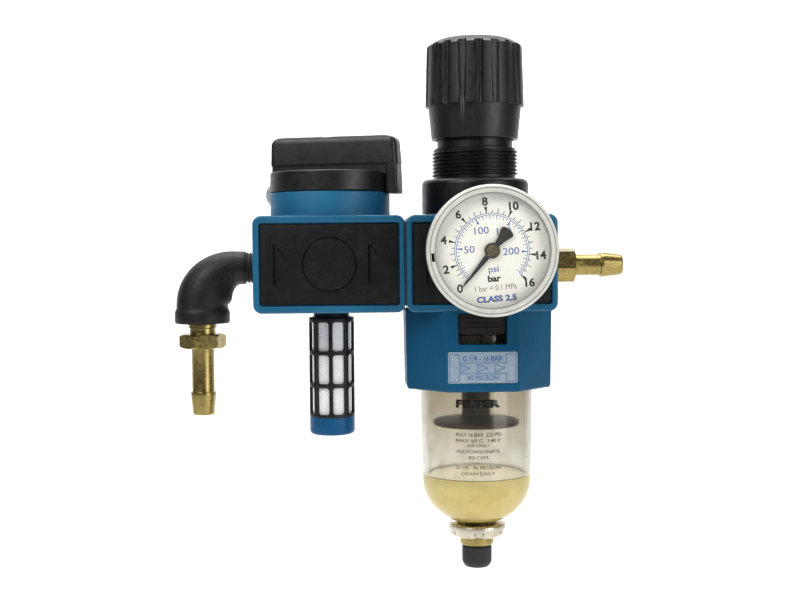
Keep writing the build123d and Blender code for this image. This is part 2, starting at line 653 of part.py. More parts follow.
with BuildPart() as inlet_elbow:
    with BuildLine() as centre_line:
        FilletPolyline(
            (ELBOW_MOUTH_X, PORT_Y, 0),
            (ELBOW_X, PORT_Y, 0),
            (ELBOW_X, PORT_Y, ELBOW_BOTTOM),
            radius=ELBOW_BEND,
        )
    # the casting swells from its mouth, round the bend, to the band at its lower end
    for step in range(6):
        angle = math.radians(90 * step / 5)
        lean = Plane(
            origin=(
                ELBOW_X + ELBOW_BEND * (1 - math.sin(angle)),
                PORT_Y,
                -ELBOW_BEND * (1 - math.cos(angle)),
            ),
            x_dir=(0, 1, 0),
            z_dir=(-math.cos(angle), 0, -math.sin(angle)),
        )
        swell = math.sin(angle) ** 1.3
        with BuildSketch(lean):
            Circle(ELBOW_MOUTH_RADIUS + (ELBOW_RADIUS - ELBOW_MOUTH_RADIUS) * swell)
    loft()
    sleeve(PORTS, 0, ELBOW_MOUTH_RADIUS, ELBOW_X + ELBOW_BEND, ELBOW_MOUTH_X)
    sleeve(upright(ELBOW_X), 0, ELBOW_RADIUS, ELBOW_BOTTOM, -ELBOW_BEND)
    sleeve(upright(ELBOW_X), 0, ELBOW_BAND_RADIUS, ELBOW_BOTTOM, ELBOW_BOTTOM + ELBOW_BAND_HEIGHT)
    thread_end = -MODULE_WIDTH + PORT_THREAD_DEPTH - 0.5
    outer_thread = ridges(
        PORT_THREAD_RADIUS - 0.04, PORT_THREAD_ROOT, ELBOW_MOUTH_X, thread_end, PORT_THREAD_PITCH
    )
    turned(
        PORTS,
        (0, ELBOW_MOUTH_X - 1),
        (PORT_THREAD_ROOT, ELBOW_MOUTH_X - 1),
        *outer_thread,
        (PORT_THREAD_ROOT, thread_end),
        (0, thread_end),
    )
    with BuildSketch(Plane.YZ.offset(ELBOW_MOUTH_X)) as hollow:
        with Locations((PORT_Y, 0)):
            Circle(ELBOW_BORE)
    sweep(hollow.sketch, path=centre_line.line, mode=Mode.SUBTRACT)
    sleeve(PORTS, 0, PORT_BORE_RADIUS, ELBOW_MOUTH_X - 4, thread_end + 1, mode=Mode.SUBTRACT)
    sleeve(upright(ELBOW_X), 0, PORT_THREAD_RADIUS, ELBOW_BOTTOM - 1, ELBOW_BOTTOM + 9, mode=Mode.SUBTRACT)
keep(inlet_elbow, "inlet_elbow")

with BuildPart() as inlet_barb:
    hose_barb(
        upright(ELBOW_X),
        tip=-62.2,
        thread_end=ELBOW_BOTTOM + 8.5,
        thread_start=-25.7,
        hex_low=-34.3,
        hex_high=-28.2,
        flats=INLET_HEX_ACROSS_FLATS,
        shank_radius=4.68,
        barb_start=-52.8,
        turn=15,
    )
keep(inlet_barb, "inlet_barb")

with BuildPart() as outlet_barb:
    hose_barb(
        PORTS,
        tip=92.7,
        thread_end=MODULE_WIDTH - PORT_THREAD_DEPTH + 1,
        thread_start=MODULE_WIDTH + 1.5,
        hex_low=72.5,
        hex_high=64.0,
        flats=OUTLET_HEX_ACROSS_FLATS,
        shank_radius=4.4,
        barb_start=83.3,
        turn=10,
    )
keep(outlet_barb, "outlet_barb")

# ---------------------------------------------------------------- joint between the modules

with BuildPart() as joint_gasket:
    with BuildSketch(Plane.YZ.offset(-JOINT_GAP)) as plate:
        with Locations((-MODULE_DEPTH / 2, BLOCK_CENTRE_Z)):
            Rectangle(MODULE_DEPTH - 1, BLOCK_HEIGHT - 5.5)
            with GridLocations(STUD_SPACING_Y, STUD_SPACING_Z, 2, 2):
                Circle(STUD_RADIUS, mode=Mode.SUBTRACT)
        with Locations((PORT_Y, 0)):
            Circle(JOINT_SEAL_INNER, mode=Mode.SUBTRACT)
    extrude(plate.sketch, amount=2 * JOINT_GAP)
    # moulded ring that fills the groove round the passage
    with BuildSketch(Plane.YZ.offset(-JOINT_SEAL_DEPTH)) as rim:
        with Locations((PORT_Y, 0)):
            Circle(JOINT_SEAL_OUTER - 0.05)
            Circle(JOINT_SEAL_INNER, mode=Mode.SUBTRACT)
    extrude(rim.sketch, amount=JOINT_SEAL_DEPTH)
keep(joint_gasket, "joint_gasket")

with BuildPart() as joining_studs:
    with BuildSketch(Plane.YZ.offset(-STUD_DEPTH + 0.5)) as studs:
        with Locations((-MODULE_DEPTH / 2, BLOCK_CENTRE_Z)):
            with GridLocations(STUD_SPACING_Y, STUD_SPACING_Z, 2, 2):
                Circle(STUD_RADIUS)
    extrude(studs.sketch, amount=2 * STUD_DEPTH - 1)
keep(joining_studs, "joining_studs")

# ---------------------------------------------------------------- filter regulator: block

with BuildPart() as regulator_body:
    block(JOINT_GAP, MODULE_WIDTH)
    panel_recess(REGULATOR_X)
    rear_hole(MOUNT_SPACING_X / 2)
    stud_holes(JOINT_GAP, STUD_DEPTH)
    # diaphragm seat, outlet chamber, valve seat hole and the bore for the valve from below
    sleeve(REGULATOR, 0, DIAPHRAGM_RADIUS + 0.2, DIAPHRAGM_SEAT_Z, BLOCK_TOP + 1, mode=Mode.SUBTRACT)
    sleeve(REGULATOR, 0, CHAMBER_RADIUS, CHAMBER_FLOOR, BLOCK_TOP, mode=Mode.SUBTRACT)
    sleeve(REGULATOR, 0, SEAT_RADIUS + 1.5, 0, CHAMBER_FLOOR + 1, mode=Mode.SUBTRACT)
    sleeve(REGULATOR, 0, VALVE_BORE_RADIUS, BLOCK_BOTTOM - 1, VALVE_BORE_TOP, mode=Mode.SUBTRACT)
    # outlet: thread, passage and the riser from the chamber
    sleeve(
        PORTS, 0, PORT_THREAD_RADIUS, MODULE_WIDTH - PORT_THREAD_DEPTH, MODULE_WIDTH + 1, mode=Mode.SUBTRACT
    )
    sleeve(PORTS, 0, PORT_BORE_RADIUS, REGULATOR_X + 9.5, MODULE_WIDTH, mode=Mode.SUBTRACT)
    sleeve(upright(REGULATOR_X + 13.5), 0, 3.8, 0, CHAMBER_FLOOR + 1, mode=Mode.SUBTRACT)
    # inlet passage and the drilling down to the bowl
    sleeve(PORTS, 0, PORT_BORE_RADIUS, -1, REGULATOR_X - 10.5, mode=Mode.SUBTRACT)
    sleeve(upright(REGULATOR_X - 14.0), 0, 3.5, BLOCK_BOTTOM - 1, 0, mode=Mode.SUBTRACT)
    # gauge ports at the front and the back, each with a fine drilling to the chamber
    sleeve(GAUGE, 0, GAUGE_PORT_RADIUS, -MODULE_DEPTH - 1, -MODULE_DEPTH + 10, mode=Mode.SUBTRACT)
    sleeve(GAUGE, 0, GAUGE_PORT_RADIUS, -7.0, 1, mode=Mode.SUBTRACT)
    pressure_tap = facing(GAUGE_X, CHAMBER_FLOOR + 1.2)
    sleeve(pressure_tap, 0, 1.2, -MODULE_DEPTH + 9, -44, mode=Mode.SUBTRACT)
    sleeve(pressure_tap, 0, 1.2, -14, -6, mode=Mode.SUBTRACT)
    # tapped holes for the guard's screws
    with BuildSketch(Plane.XY.offset(BLOCK_BOTTOM)) as guard_holes:
        with Locations((REGULATOR_X, PORT_Y - 0.5)):
            with GridLocations(GUARD_SCREW_SPACING_X, GUARD_SCREW_SPACING_Y, 2, 2):
                Circle(1.55)
    extrude(guard_holes.sketch, amount=9, mode=Mode.SUBTRACT)
keep(regulator_body, "regulator_body")

with BuildPart() as regulator_front_panel:
    front_panel(REGULATOR_X)
    sleeve(GAUGE, 0, 9.0, -MODULE_DEPTH - 1, -MODULE_DEPTH + 3, mode=Mode.SUBTRACT)
keep(regulator_front_panel, "regulator_front_panel")

with BuildPart() as rear_port_plug:
    threaded_rod(GAUGE, GAUGE_STEM_RADIUS, 4.4, -6.5, -0.6, GAUGE_THREAD_PITCH)
    sleeve(GAUGE, 0, 2.3, -3.6, 0, mode=Mode.SUBTRACT)
keep(rear_port_plug, "rear_port_plug")

# ---------------------------------------------------------------- filter regulator: bonnet and adjuster

BONNET_RINGS = ridges(
    BONNET_THREAD_RADIUS,
    BONNET_THREAD_RADIUS - 0.95,
    BONNET_COLLAR_TOP,
    BONNET_THREAD_TOP,
    BONNET_THREAD_PITCH,
)
SPIGOT_Z = DIAPHRAGM_SEAT_Z + DIAPHRAGM_THICKNESS
with BuildPart() as bonnet:
    turned(
        REGULATOR,
        (CHAMBER_RADIUS, SPIGOT_Z),
        (DIAPHRAGM_RADIUS + 0.1, SPIGOT_Z),
        (DIAPHRAGM_RADIUS + 0.1, BLOCK_TOP),
        (BONNET_COLLAR_RADIUS, BLOCK_TOP),
        (BONNET_COLLAR_RADIUS, BONNET_COLLAR_TOP - 2.2),
        (BONNET_COLLAR_RADIUS - 0.6, BONNET_COLLAR_TOP - 0.8),
        (BONNET_COLLAR_RADIUS - 2.0, BONNET_COLLAR_TOP),
        *BONNET_RINGS,
        (BONNET_NECK_RADIUS, BONNET_THREAD_TOP),
        (BONNET_NECK_RADIUS, BONNET_TOP - 1),
        (BONNET_NECK_RADIUS - 1, BONNET_TOP),
        (ADJUSTER_RADIUS + RUNNING_FIT, BONNET_TOP),
        (ADJUSTER_RADIUS + RUNNING_FIT, BONNET_ROOF),
        (BONNET_BORE_RADIUS, BONNET_ROOF),
        (BONNET_BORE_RADIUS, 30.0),
        (CHAMBER_RADIUS, 25.0),
    )
    # two keys inside the bore that keep the spring nut from turning
    for side in (-1, 1):
        with BuildSketch(Plane.XY.offset(32.0)) as key:
            with Locations((REGULATOR_X + side * 12.6, PORT_Y)):
                Rectangle(1.6, 2.4)
        extrude(key.sketch, amount=BONNET_ROOF - 32.0)
keep(bonnet, "bonnet")

with BuildPart() as adjusting_spindle:
    turned(
        REGULATOR,
        (0, 27.0),
        (3.2, 27.0),
        *ridges(ADJUSTER_RADIUS, 3.3, 28.0, BONNET_ROOF - 2.4, 1.5),
        (6.5, BONNET_ROOF - 2.3),
        (6.5, BONNET_ROOF - CLEARANCE),
        (ADJUSTER_RADIUS, BONNET_ROOF - CLEARANCE),
        (ADJUSTER_RADIUS, 84.0),
        (0, 84.0),
    )
    # six-sided drive on which the knob slides
    with BuildSketch(Plane.XY.offset(BONNET_TOP + 1)) as flats:
        with Locations((REGULATOR_X, PORT_Y)):
            Circle(5)
            RegularPolygon(3.9, 6, mode=Mode.SUBTRACT)
    extrude(flats.sketch, amount=20, mode=Mode.SUBTRACT)
keep(adjusting_spindle, "adjusting_spindle")

with BuildPart() as spindle_clip:
    sleeve(REGULATOR, ADJUSTER_RADIUS - 0.1, 5.6, 83.0, 83.8)
    with BuildSketch(Plane.XY.offset(82)) as mouth:
        with Locations((REGULATOR_X + 4, PORT_Y)):
            Rectangle(6, 4)
    extrude(mouth.sketch, amount=3, mode=Mode.SUBTRACT)
keep(spindle_clip, "spindle_clip")

with BuildPart() as adjusting_knob:
    turned(
        REGULATOR,
        (16.4, KNOB_SKIRT_BOTTOM),
        (18.1, KNOB_SKIRT_BOTTOM),
        (18.3, KNOB_SKIRT_BOTTOM + 0.4),
        (19.5, KNOB_SKIRT_TOP),
        (18.6, KNOB_SKIRT_TOP + 1),
        (18.0, KNOB_CROWN_TOP - 1),
        (16.8, KNOB_CROWN_TOP + 1.4),
        (14.5, KNOB_TOP - 0.3),
        (12.0, KNOB_TOP),
        (0, KNOB_TOP),
        (0, KNOB_CROWN_TOP - 1.0),
        (16.0, KNOB_CROWN_TOP - 3.0),
        (16.4, 68.0),
    )
    # ribs of the crown, flat on the outside and slightly narrower across the top
    for rib in range(KNOB_RIB_COUNT):
        turn = 360 / KNOB_RIB_COUNT * rib
        rib_plane = Plane(origin=(REGULATOR_X, PORT_Y, KNOB_SKIRT_TOP), z_dir=(0, 0, 1)).rotated((0, 0, turn))
        with BuildSketch(rib_plane) as foot:
            with Locations((18.8, 0)):
                Rectangle(3.7, KNOB_RIB_WIDTH)
        extrude(foot.sketch, amount=KNOB_CROWN_TOP - KNOB_SKIRT_TOP, taper=0.8)
    # hub with the six-sided socket
    sleeve(REGULATOR, 4.1, 7.0, BONNET_TOP + 4.0, 82.2)
    with BuildSketch(Plane.XY.offset(76.0)) as hub_web:
        with Locations((REGULATOR_X, PORT_Y)):
            Circle(16.6)
            Circle(6.0, mode=Mode.SUBTRACT)
    extrude(hub_web.sketch, amount=3.0)
keep(adjusting_knob, "adjusting_knob")

with BuildPart() as spring_nut:
    sleeve(
        REGULATOR,
        ADJUSTER_RADIUS + RUNNING_FIT,
        BONNET_BORE_RADIUS - 0.4,
        SPRING_NUT_BOTTOM,
        SPRING_NUT_BOTTOM + SPRING_NUT_THICKNESS,
    )
    with BuildSketch(Plane.XY.offset(SPRING_NUT_BOTTOM - 1)) as keyways:
        with Locations((REGULATOR_X - 12.6, PORT_Y), (REGULATOR_X + 12.6, PORT_Y)):
            Rectangle(2.6, 3.2)
    extrude(keyways.sketch, amount=SPRING_NUT_THICKNESS + 2, mode=Mode.SUBTRACT)
keep(spring_nut, "spring_nut")

SPRING_TOP = SPRING_NUT_BOTTOM - 0.1
with BuildPart() as main_spring:
    coil_height = SPRING_TOP - SPRING_BOTTOM - 2 * SPRING_WIRE_RADIUS
    with BuildLine(Plane(origin=(REGULATOR_X, PORT_Y, SPRING_BOTTOM + SPRING_WIRE_RADIUS))) as coil:
        Helix(pitch=coil_height / 5, height=coil_height, radius=SPRING_RADIUS)
    with BuildSketch(Plane(origin=coil.line @ 0, z_dir=coil.line % 0)) as wire:
        Circle(SPRING_WIRE_RADIUS)
    sweep(wire.sketch, path=coil.line, is_frenet=True)
keep(main_spring, "main_spring")

with BuildPart() as diaphragm:
    sleeve(REGULATOR, 3.6, DIAPHRAGM_RADIUS, DIAPHRAGM_SEAT_Z, DIAPHRAGM_SEAT_Z + DIAPHRAGM_THICKNESS)
keep(diaphragm, "diaphragm")

with BuildPart() as diaphragm_plate:
    turned(
        REGULATOR,
        (3.6, SPIGOT_Z),
        (14.5, SPIGOT_Z),
        (14.5, SPIGOT_Z + 1.0),
        (12.6, SPIGOT_Z + 1.6),
        (12.6, SPRING_BOTTOM - 0.2),
        (3.6, SPRING_BOTTOM - 0.2),
    )
    sleeve(REGULATOR, 8.6, 13, SPRING_BOTTOM - 0.9, SPRING_BOTTOM, mode=Mode.SUBTRACT)
keep(diaphragm_plate, "diaphragm_plate")

with BuildPart() as relief_bush:
    turned(
        REGULATOR,
        (1.0, DIAPHRAGM_SEAT_Z - 1.6),
        (6.5, DIAPHRAGM_SEAT_Z - 1.6),
        (6.5, DIAPHRAGM_SEAT_Z),
        (3.6, DIAPHRAGM_SEAT_Z),
        (3.6, SPRING_BOTTOM - 0.4),
        (1.0, SPRING_BOTTOM - 0.4),
    )
keep(relief_bush, "relief_bush")

# ---------------------------------------------------------------- filter regulator: valve

with BuildPart() as valve_seat:
    sleeve(REGULATOR, 3.0, SEAT_RADIUS + 1.5, VALVE_BORE_TOP, CHAMBER_FLOOR)
keep(valve_seat, "valve_seat")

with BuildPart() as valve_stem:
    turned(
        REGULATOR,
        (0, -7.0),
        (1.9, -7.0),
        (1.9, 2.0),
        (5.0, 2.0),
        (5.0, VALVE_BORE_TOP - CLEARANCE),
        (1.5, VALVE_BORE_TOP - CLEARANCE),
        (1.5, DIAPHRAGM_SEAT_Z - 2.0),
        (0, DIAPHRAGM_SEAT_Z - 2.0),
    )
keep(valve_stem, "valve_stem")

with BuildPart() as valve_guide:
    turned(
        REGULATOR,
        (1.9 + RUNNING_FIT, -12.0),
        (VALVE_BORE_RADIUS, -12.0),
        (VALVE_BORE_RADIUS, -4.0),
        (5.9, -4.0),
        (5.9, -5.6),
        (1.9 + RUNNING_FIT, -5.6),
    )
    sleeve(REGULATOR, 4.0, VALVE_BORE_RADIUS, BLOCK_BOTTOM, -12)
    with BuildSketch(Plane.XY.offset(BLOCK_BOTTOM)) as vents:
        with Locations((REGULATOR_X, PORT_Y)):
            with PolarLocations(5.4, 6):
                Circle(0.9)
    extrude(vents.sketch, amount=16, mode=Mode.SUBTRACT)
keep(valve_guide, "valve_guide")

with BuildPart() as return_spring:
    for turn in range(5):
        seal_ring(REGULATOR, 2.5, 3.5, -5.0 + 1.45 * turn)
keep(return_spring, "return_spring")

# ---------------------------------------------------------------- filter: guard, latch and label

GUARD_OUTLINE = [
    (GUARD_FRONT_HALF_WIDTH, -MODULE_DEPTH / 2),
    (GUARD_SIDE_HALF_WIDTH, -MODULE_DEPTH / 2 + GUARD_FACET_Y),
    (GUARD_SIDE_HALF_WIDTH, MODULE_DEPTH / 2 - GUARD_FACET_Y),
    (GUARD_FRONT_HALF_WIDTH, MODULE_DEPTH / 2),
    (-GUARD_FRONT_HALF_WIDTH, MODULE_DEPTH / 2),
    (-GUARD_SIDE_HALF_WIDTH, MODULE_DEPTH / 2 - GUARD_FACET_Y),
    (-GUARD_SIDE_HALF_WIDTH, -MODULE_DEPTH / 2 + GUARD_FACET_Y),
    (-GUARD_FRONT_HALF_WIDTH, -MODULE_DEPTH / 2),
]
LABEL_FLOOR_Y = MODULE_DEPTH - 1.4
with BuildPart() as filter_guard:
    with BuildSketch(Plane.XY.offset(BLOCK_BOTTOM)) as footprint:
        with Locations((REGULATOR_X, -MODULE_DEPTH / 2)):
            Polygon(*GUARD_OUTLINE, align=None)
    extrude(footprint.sketch, amount=-(BLOCK_BOTTOM - GUARD_BOTTOM), taper=GUARD_TAPER)
    fillet(filter_guard.edges().filter_by(Plane.XY).group_by(Axis.Z)[0], 1.2)
    sleeve(REGULATOR, 0, GUARD_BORE_RADIUS, GUARD_BOTTOM - 1, GUARD_CEILING, mode=Mode.SUBTRACT)
    # passages through the ceiling: inlet drilling, centre bore and the vane's spigot
    sleeve(upright(REGULATOR_X - 14.0), 0, 3.5, GUARD_CEILING - 1, BLOCK_BOTTOM + 1, mode=Mode.SUBTRACT)
    sleeve(REGULATOR, 0, VALVE_BORE_RADIUS, GUARD_CEILING - 1, BLOCK_BOTTOM + 1, mode=Mode.SUBTRACT)
    # pocket for the latch, open to the bowl's bore
    with BuildSketch(Plane.XZ.offset(MODULE_DEPTH / 2 + 20)) as latch_pocket:
        with Locations((REGULATOR_X, (LATCH_TOP + LATCH_BOTTOM) / 2)):
            RectangleRounded(2 * LATCH_HALF_WIDTH, LATCH_TOP - LATCH_BOTTOM, 0.8)
    extrude(latch_pocket.sketch, amount=12, mode=Mode.SUBTRACT)
    with BuildSketch(Plane.XZ.offset(LABEL_FLOOR_Y)) as label_pocket:
        with Locations((REGULATOR_X, LABEL_CENTRE_Z)):
            RectangleRounded(LABEL_WIDTH + 0.3, LABEL_HEIGHT + 0.3, 0.8)
    extrude(label_pocket.sketch, amount=4, mode=Mode.SUBTRACT)
    guard_foot = Plane(origin=(REGULATOR_X, PORT_Y - 0.5, GUARD_BOTTOM), x_dir=(1, 0, 0), z_dir=(0, 0, -1))
    with Locations(guard_foot):
        with GridLocations(GUARD_SCREW_SPACING_X, GUARD_SCREW_SPACING_Y, 2, 2):
            CounterBoreHole(1.7, 2.85, 4.0)
keep(filter_guard, "filter_guard")

with BuildPart() as guard_screws:
    for corner_x in (-GUARD_SCREW_SPACING_X / 2, GUARD_SCREW_SPACING_X / 2):
        for corner_y in (-GUARD_SCREW_SPACING_Y / 2, GUARD_SCREW_SPACING_Y / 2):
            axis = upright(REGULATOR_X + corner_x, PORT_Y - 0.5 + corner_y)
            sleeve(axis, 0, 1.5, GUARD_BOTTOM + 4.0, BLOCK_BOTTOM + 8)
            sleeve(axis, 0, 2.75, GUARD_BOTTOM + 1.0, GUARD_BOTTOM + 4.0)
            sleeve(axis, 0, 1.25, GUARD_BOTTOM, GUARD_BOTTOM + 2.4, mode=Mode.SUBTRACT)
keep(guard_screws, "guard_screws")

with BuildPart() as label_plate:
    with BuildSketch(Plane.XZ.offset(LABEL_FLOOR_Y)) as label:
        with Locations((REGULATOR_X, LABEL_CENTRE_Z)):
            RectangleRounded(LABEL_WIDTH, LABEL_HEIGHT, 0.7)
    extrude(label.sketch, amount=1.1)
keep(label_plate, "label_plate")

with BuildPart() as bowl_latch:
    with BuildSketch(Plane.XZ.offset(MODULE_DEPTH / 2 + 24.0 + 0.8)) as slider:
        with Locations((REGULATOR_X, LATCH_TOP - 0.5 - 3.9)):
            RectangleRounded(2 * LATCH_HALF_WIDTH - 0.8, 7.8, 0.6)
    extrude(slider.sketch, amount=1.6)
    for step in range(3):
        with BuildSketch(Plane.XZ.offset(MODULE_DEPTH / 2 + 26.4)) as grip:
            with Locations((REGULATOR_X, LATCH_TOP - 2.6 - 1.9 * step)):
                Rectangle(13, 0.9)
        extrude(grip.sketch, amount=0.6)
keep(bowl_latch, "bowl_latch")

with BuildPart() as latch_spring:
    for turn in range(5):
        level = LATCH_BOTTOM + 0.4 + 0.86 * turn
        seal_ring(upright(REGULATOR_X, -MODULE_DEPTH / 2 - 25.6), 0.45, 1.05, level)
keep(latch_spring, "latch_spring")

# ---------------------------------------------------------------- filter: inside the bowl

with BuildPart() as swirl_vane:
    sleeve(REGULATOR, VALVE_BORE_RADIUS, VANE_RADIUS, ELEMENT_TOP, GUARD_CEILING - 3.2)
    sleeve(REGULATOR, VALVE_BORE_RADIUS, 9.3, GUARD_CEILING - 3.4, GUARD_CEILING)
    sleeve(REGULATOR, VANE_RADIUS - 2, VANE_RADIUS, GUARD_CEILING - 3.4, GUARD_CEILING)
    for vane in range(12):
        angle = math.radians(30 * vane)
        tilt = Plane(
            origin=(REGULATOR_X + 17.6 * math.cos(angle), PORT_Y + 17.6 * math.sin(angle), ELEMENT_TOP),
            x_dir=(math.cos(angle), math.sin(angle), 0),
            z_dir=(-math.sin(angle) * 0.6, math.cos(angle) * 0.6, 0.8),
        )
        with BuildSketch(tilt) as slot:
            Rectangle(3.6, 2.0)
        extrude(slot.sketch, amount=4, both=True, mode=Mode.SUBTRACT)
keep(swirl_vane, "swirl_vane")

with BuildPart() as filter_stud:
    sleeve(REGULATOR, 2.5, 3.98, -62.0, -12.0)
keep(filter_stud, "filter_stud")

with BuildPart() as filter_element:
    sleeve(REGULATOR, 9.0, ELEMENT_RADIUS, ELEMENT_BOTTOM, ELEMENT_TOP)
keep(filter_element, "filter_element")

with BuildPart() as baffle:
    turned(
        REGULATOR,
        (0, BAFFLE_Z - 1),
        (BAFFLE_RADIUS - 0.4, BAFFLE_Z - 1),
        (BAFFLE_RADIUS, BAFFLE_Z - 0.4),
        (BAFFLE_RADIUS, BAFFLE_Z + 0.6),
        (BAFFLE_RADIUS - 1, BAFFLE_Z + 1),
        (7.0, BAFFLE_Z + 1.4),
        (6.0, BAFFLE_Z + 3),
        (6.0, ELEMENT_BOTTOM - 3),
        (ELEMENT_RADIUS, ELEMENT_BOTTOM - 1.4),
        (ELEMENT_RADIUS, ELEMENT_BOTTOM),
        (0, ELEMENT_BOTTOM),
    )
    sleeve(REGULATOR, 0, 3.98, -62.0, ELEMENT_BOTTOM + 1, mode=Mode.SUBTRACT)
keep(baffle, "baffle")

# ---------------------------------------------------------------- bowl and drain

with BuildPart() as bowl:
    with BuildSketch(REGULATOR) as shell:
        with BuildLine():
            outer_foot = (DOME_TIP_RADIUS, BOWL_BOTTOM)
            dome_angle = math.radians(62)
            outer_mid = (
                BOWL_RADIUS_BOTTOM * math.cos(dome_angle / 1.6),
                BOWL_DOME_Z - 18.3 * math.sin(dome_angle / 1.6),
            )
            Polyline(
                (BOWL_RADIUS_BOTTOM, BOWL_DOME_Z),
                (BOWL_RADIUS_TOP, GUARD_BOTTOM),
                (BOWL_RADIUS_TOP, BOWL_TOP),
                (BOWL_RADIUS_TOP - BOWL_WALL, BOWL_TOP),
                (BOWL_RADIUS_TOP - BOWL_WALL, GUARD_BOTTOM),
                (BOWL_RADIUS_BOTTOM - BOWL_WALL, BOWL_DOME_Z),
            )
            inner_foot = (DRAIN_HOLE_RADIUS, BOWL_BOTTOM + 2.4)
            inner_mid = (outer_mid[0] - 1.7, outer_mid[1] + 1.3)
            ThreePointArc((BOWL_RADIUS_BOTTOM - BOWL_WALL, BOWL_DOME_Z), inner_mid, inner_foot)
            Polyline(inner_foot, (DRAIN_HOLE_RADIUS, BOWL_BOTTOM), outer_foot)
            ThreePointArc(outer_foot, outer_mid, (BOWL_RADIUS_BOTTOM, BOWL_DOME_Z))
        make_face()
    revolve(shell.sketch, axis=Axis(REGULATOR.origin, REGULATOR.y_dir))
    # groove for the bowl's seal ring
    groove_floor = BOWL_RADIUS_TOP - 1.2
    sleeve(REGULATOR, groove_floor, BOWL_RADIUS_TOP + 1, BOWL_TOP - 4.2, BOWL_TOP - 2.2, mode=Mode.SUBTRACT)
keep(bowl, "bowl")

with BuildPart() as bowl_seal:
    seal_ring(REGULATOR, BOWL_RADIUS_TOP - 1.15, BOWL_RADIUS_TOP + 0.45, BOWL_TOP - 3.2)
keep(bowl_seal, "bowl_seal")

with BuildPart() as drain_nut:
    turned(
        REGULATOR,
        (DRAIN_HOLE_RADIUS, NUT_BOTTOM),
        (NUT_STEP_RADIUS - 0.45, NUT_BOTTOM),
        (NUT_STEP_RADIUS, NUT_BOTTOM + 0.5),
        (NUT_STEP_RADIUS, NUT_STEP_Z),
        (NUT_RADIUS - 0.35, NUT_STEP_Z),
        (NUT_RADIUS, NUT_STEP_Z + 0.4),
        (NUT_RADIUS, BOWL_BOTTOM - 0.6),
        (NUT_RADIUS - 0.45, BOWL_BOTTOM),
        (DRAIN_HOLE_RADIUS, BOWL_BOTTOM),
    )
    nut_foot = Plane(origin=(REGULATOR_X, PORT_Y, NUT_BOTTOM), z_dir=(0, 0, 1))
    for slot in range(6):
        slot_plane = nut_foot.rotated((0, 0, 60 * slot))
        with BuildSketch(slot_plane) as notch:
            with Locations((NUT_STEP_RADIUS + 0.45, 0)):
                Rectangle(2.2, 3.0)
        extrude(notch.sketch, amount=NUT_STEP_Z - NUT_BOTTOM - 0.1, mode=Mode.SUBTRACT)
keep(drain_nut, "drain_nut")

with BuildPart() as drain_body:
    turned(
        REGULATOR,
        (DRAIN_STEM_RADIUS + RUNNING_FIT, DRAIN_BODY_BOTTOM),
        (DRAIN_BODY_RADIUS - 0.6, DRAIN_BODY_BOTTOM),
        (DRAIN_BODY_RADIUS, DRAIN_BODY_BOTTOM + 0.7),
        (DRAIN_BODY_RADIUS, NUT_BOTTOM),
        (DRAIN_HOLE_RADIUS - 0.02, NUT_BOTTOM),
        (DRAIN_HOLE_RADIUS - 0.02, BOWL_BOTTOM + 2.4),
        (DOME_TIP_RADIUS, BOWL_BOTTOM + 3.4),
        (4.0, DRAIN_BODY_TOP),
        (DRAIN_STEM_RADIUS + RUNNING_FIT, DRAIN_BODY_TOP),
    )
keep(drain_body, "drain_body")

with BuildPart() as drain_knob:
    turned(
        REGULATOR,
        (0, DRAIN_KNOB_BOTTOM),
        (DRAIN_KNOB_RADIUS - 1.75, DRAIN_KNOB_BOTTOM),
        (DRAIN_KNOB_RADIUS - 0.45, DRAIN_KNOB_BOTTOM + 0.7),
        (DRAIN_KNOB_RADIUS, DRAIN_KNOB_BOTTOM + 2.0),
        (DRAIN_KNOB_RADIUS, DRAIN_BODY_BOTTOM - 0.8),
        (DRAIN_KNOB_RADIUS - 0.45, DRAIN_BODY_BOTTOM - CLEARANCE),
        (DRAIN_STEM_RADIUS, DRAIN_BODY_BOTTOM - CLEARANCE),
        (DRAIN_STEM_RADIUS, DRAIN_BODY_TOP + 1),
        (0, DRAIN_BODY_TOP + 1),
    )
    with BuildSketch(Plane.XY.offset(DRAIN_KNOB_BOTTOM + 1.5)) as knurl:
        with Locations((REGULATOR_X, PORT_Y)):
            with PolarLocations(DRAIN_KNOB_RADIUS + 0.2, 16):
                Circle(0.55)
    extrude(knurl.sketch, amount=9, mode=Mode.SUBTRACT)
keep(drain_knob, "drain_knob")

# ---------------------------------------------------------------- gauge

with BuildPart() as gauge_case:
    turned(
        GAUGE,
        (4.0, GAUGE_BACK_Y),
        (GAUGE_RADIUS - 1.6, GAUGE_BACK_Y),
        (GAUGE_RADIUS - 0.4, GAUGE_BACK_Y - 1.2),
        (GAUGE_RADIUS - 0.4, -78.0),
        (GAUGE_RADIUS - 1.1, -78.0),
        (GAUGE_RADIUS - 1.1, -80.6),
        (GAUGE_RADIUS - 2.2, -80.6),
        (GAUGE_RADIUS - 2.2, GAUGE_BACK_Y - 1.4),
        (4.0, GAUGE_BACK_Y - 1.4),
    )
keep(gauge_case, "gauge_case")

with BuildPart() as gauge_stem:
    stem_rings = ridges(GAUGE_STEM_RADIUS, 4.4, -57.4, -47.6, GAUGE_THREAD_PITCH)
    turned(
        GAUGE,
        (1.5, -66.0),
        (3.95, -66.0),
        (3.95, -61.9),
        (6.5, -61.9),
        (6.5, -57.6),
        (4.4, -57.6),
        *stem_rings,
        (4.2, -47.4),
        (1.5, -47.4),
    )
    add(hexagon(GAUGE, 14.0, -61.9, -58.0))
    sleeve(GAUGE, 0, 1.5, -66.5, -47, mode=Mode.SUBTRACT)
keep(gauge_stem, "gauge_stem")

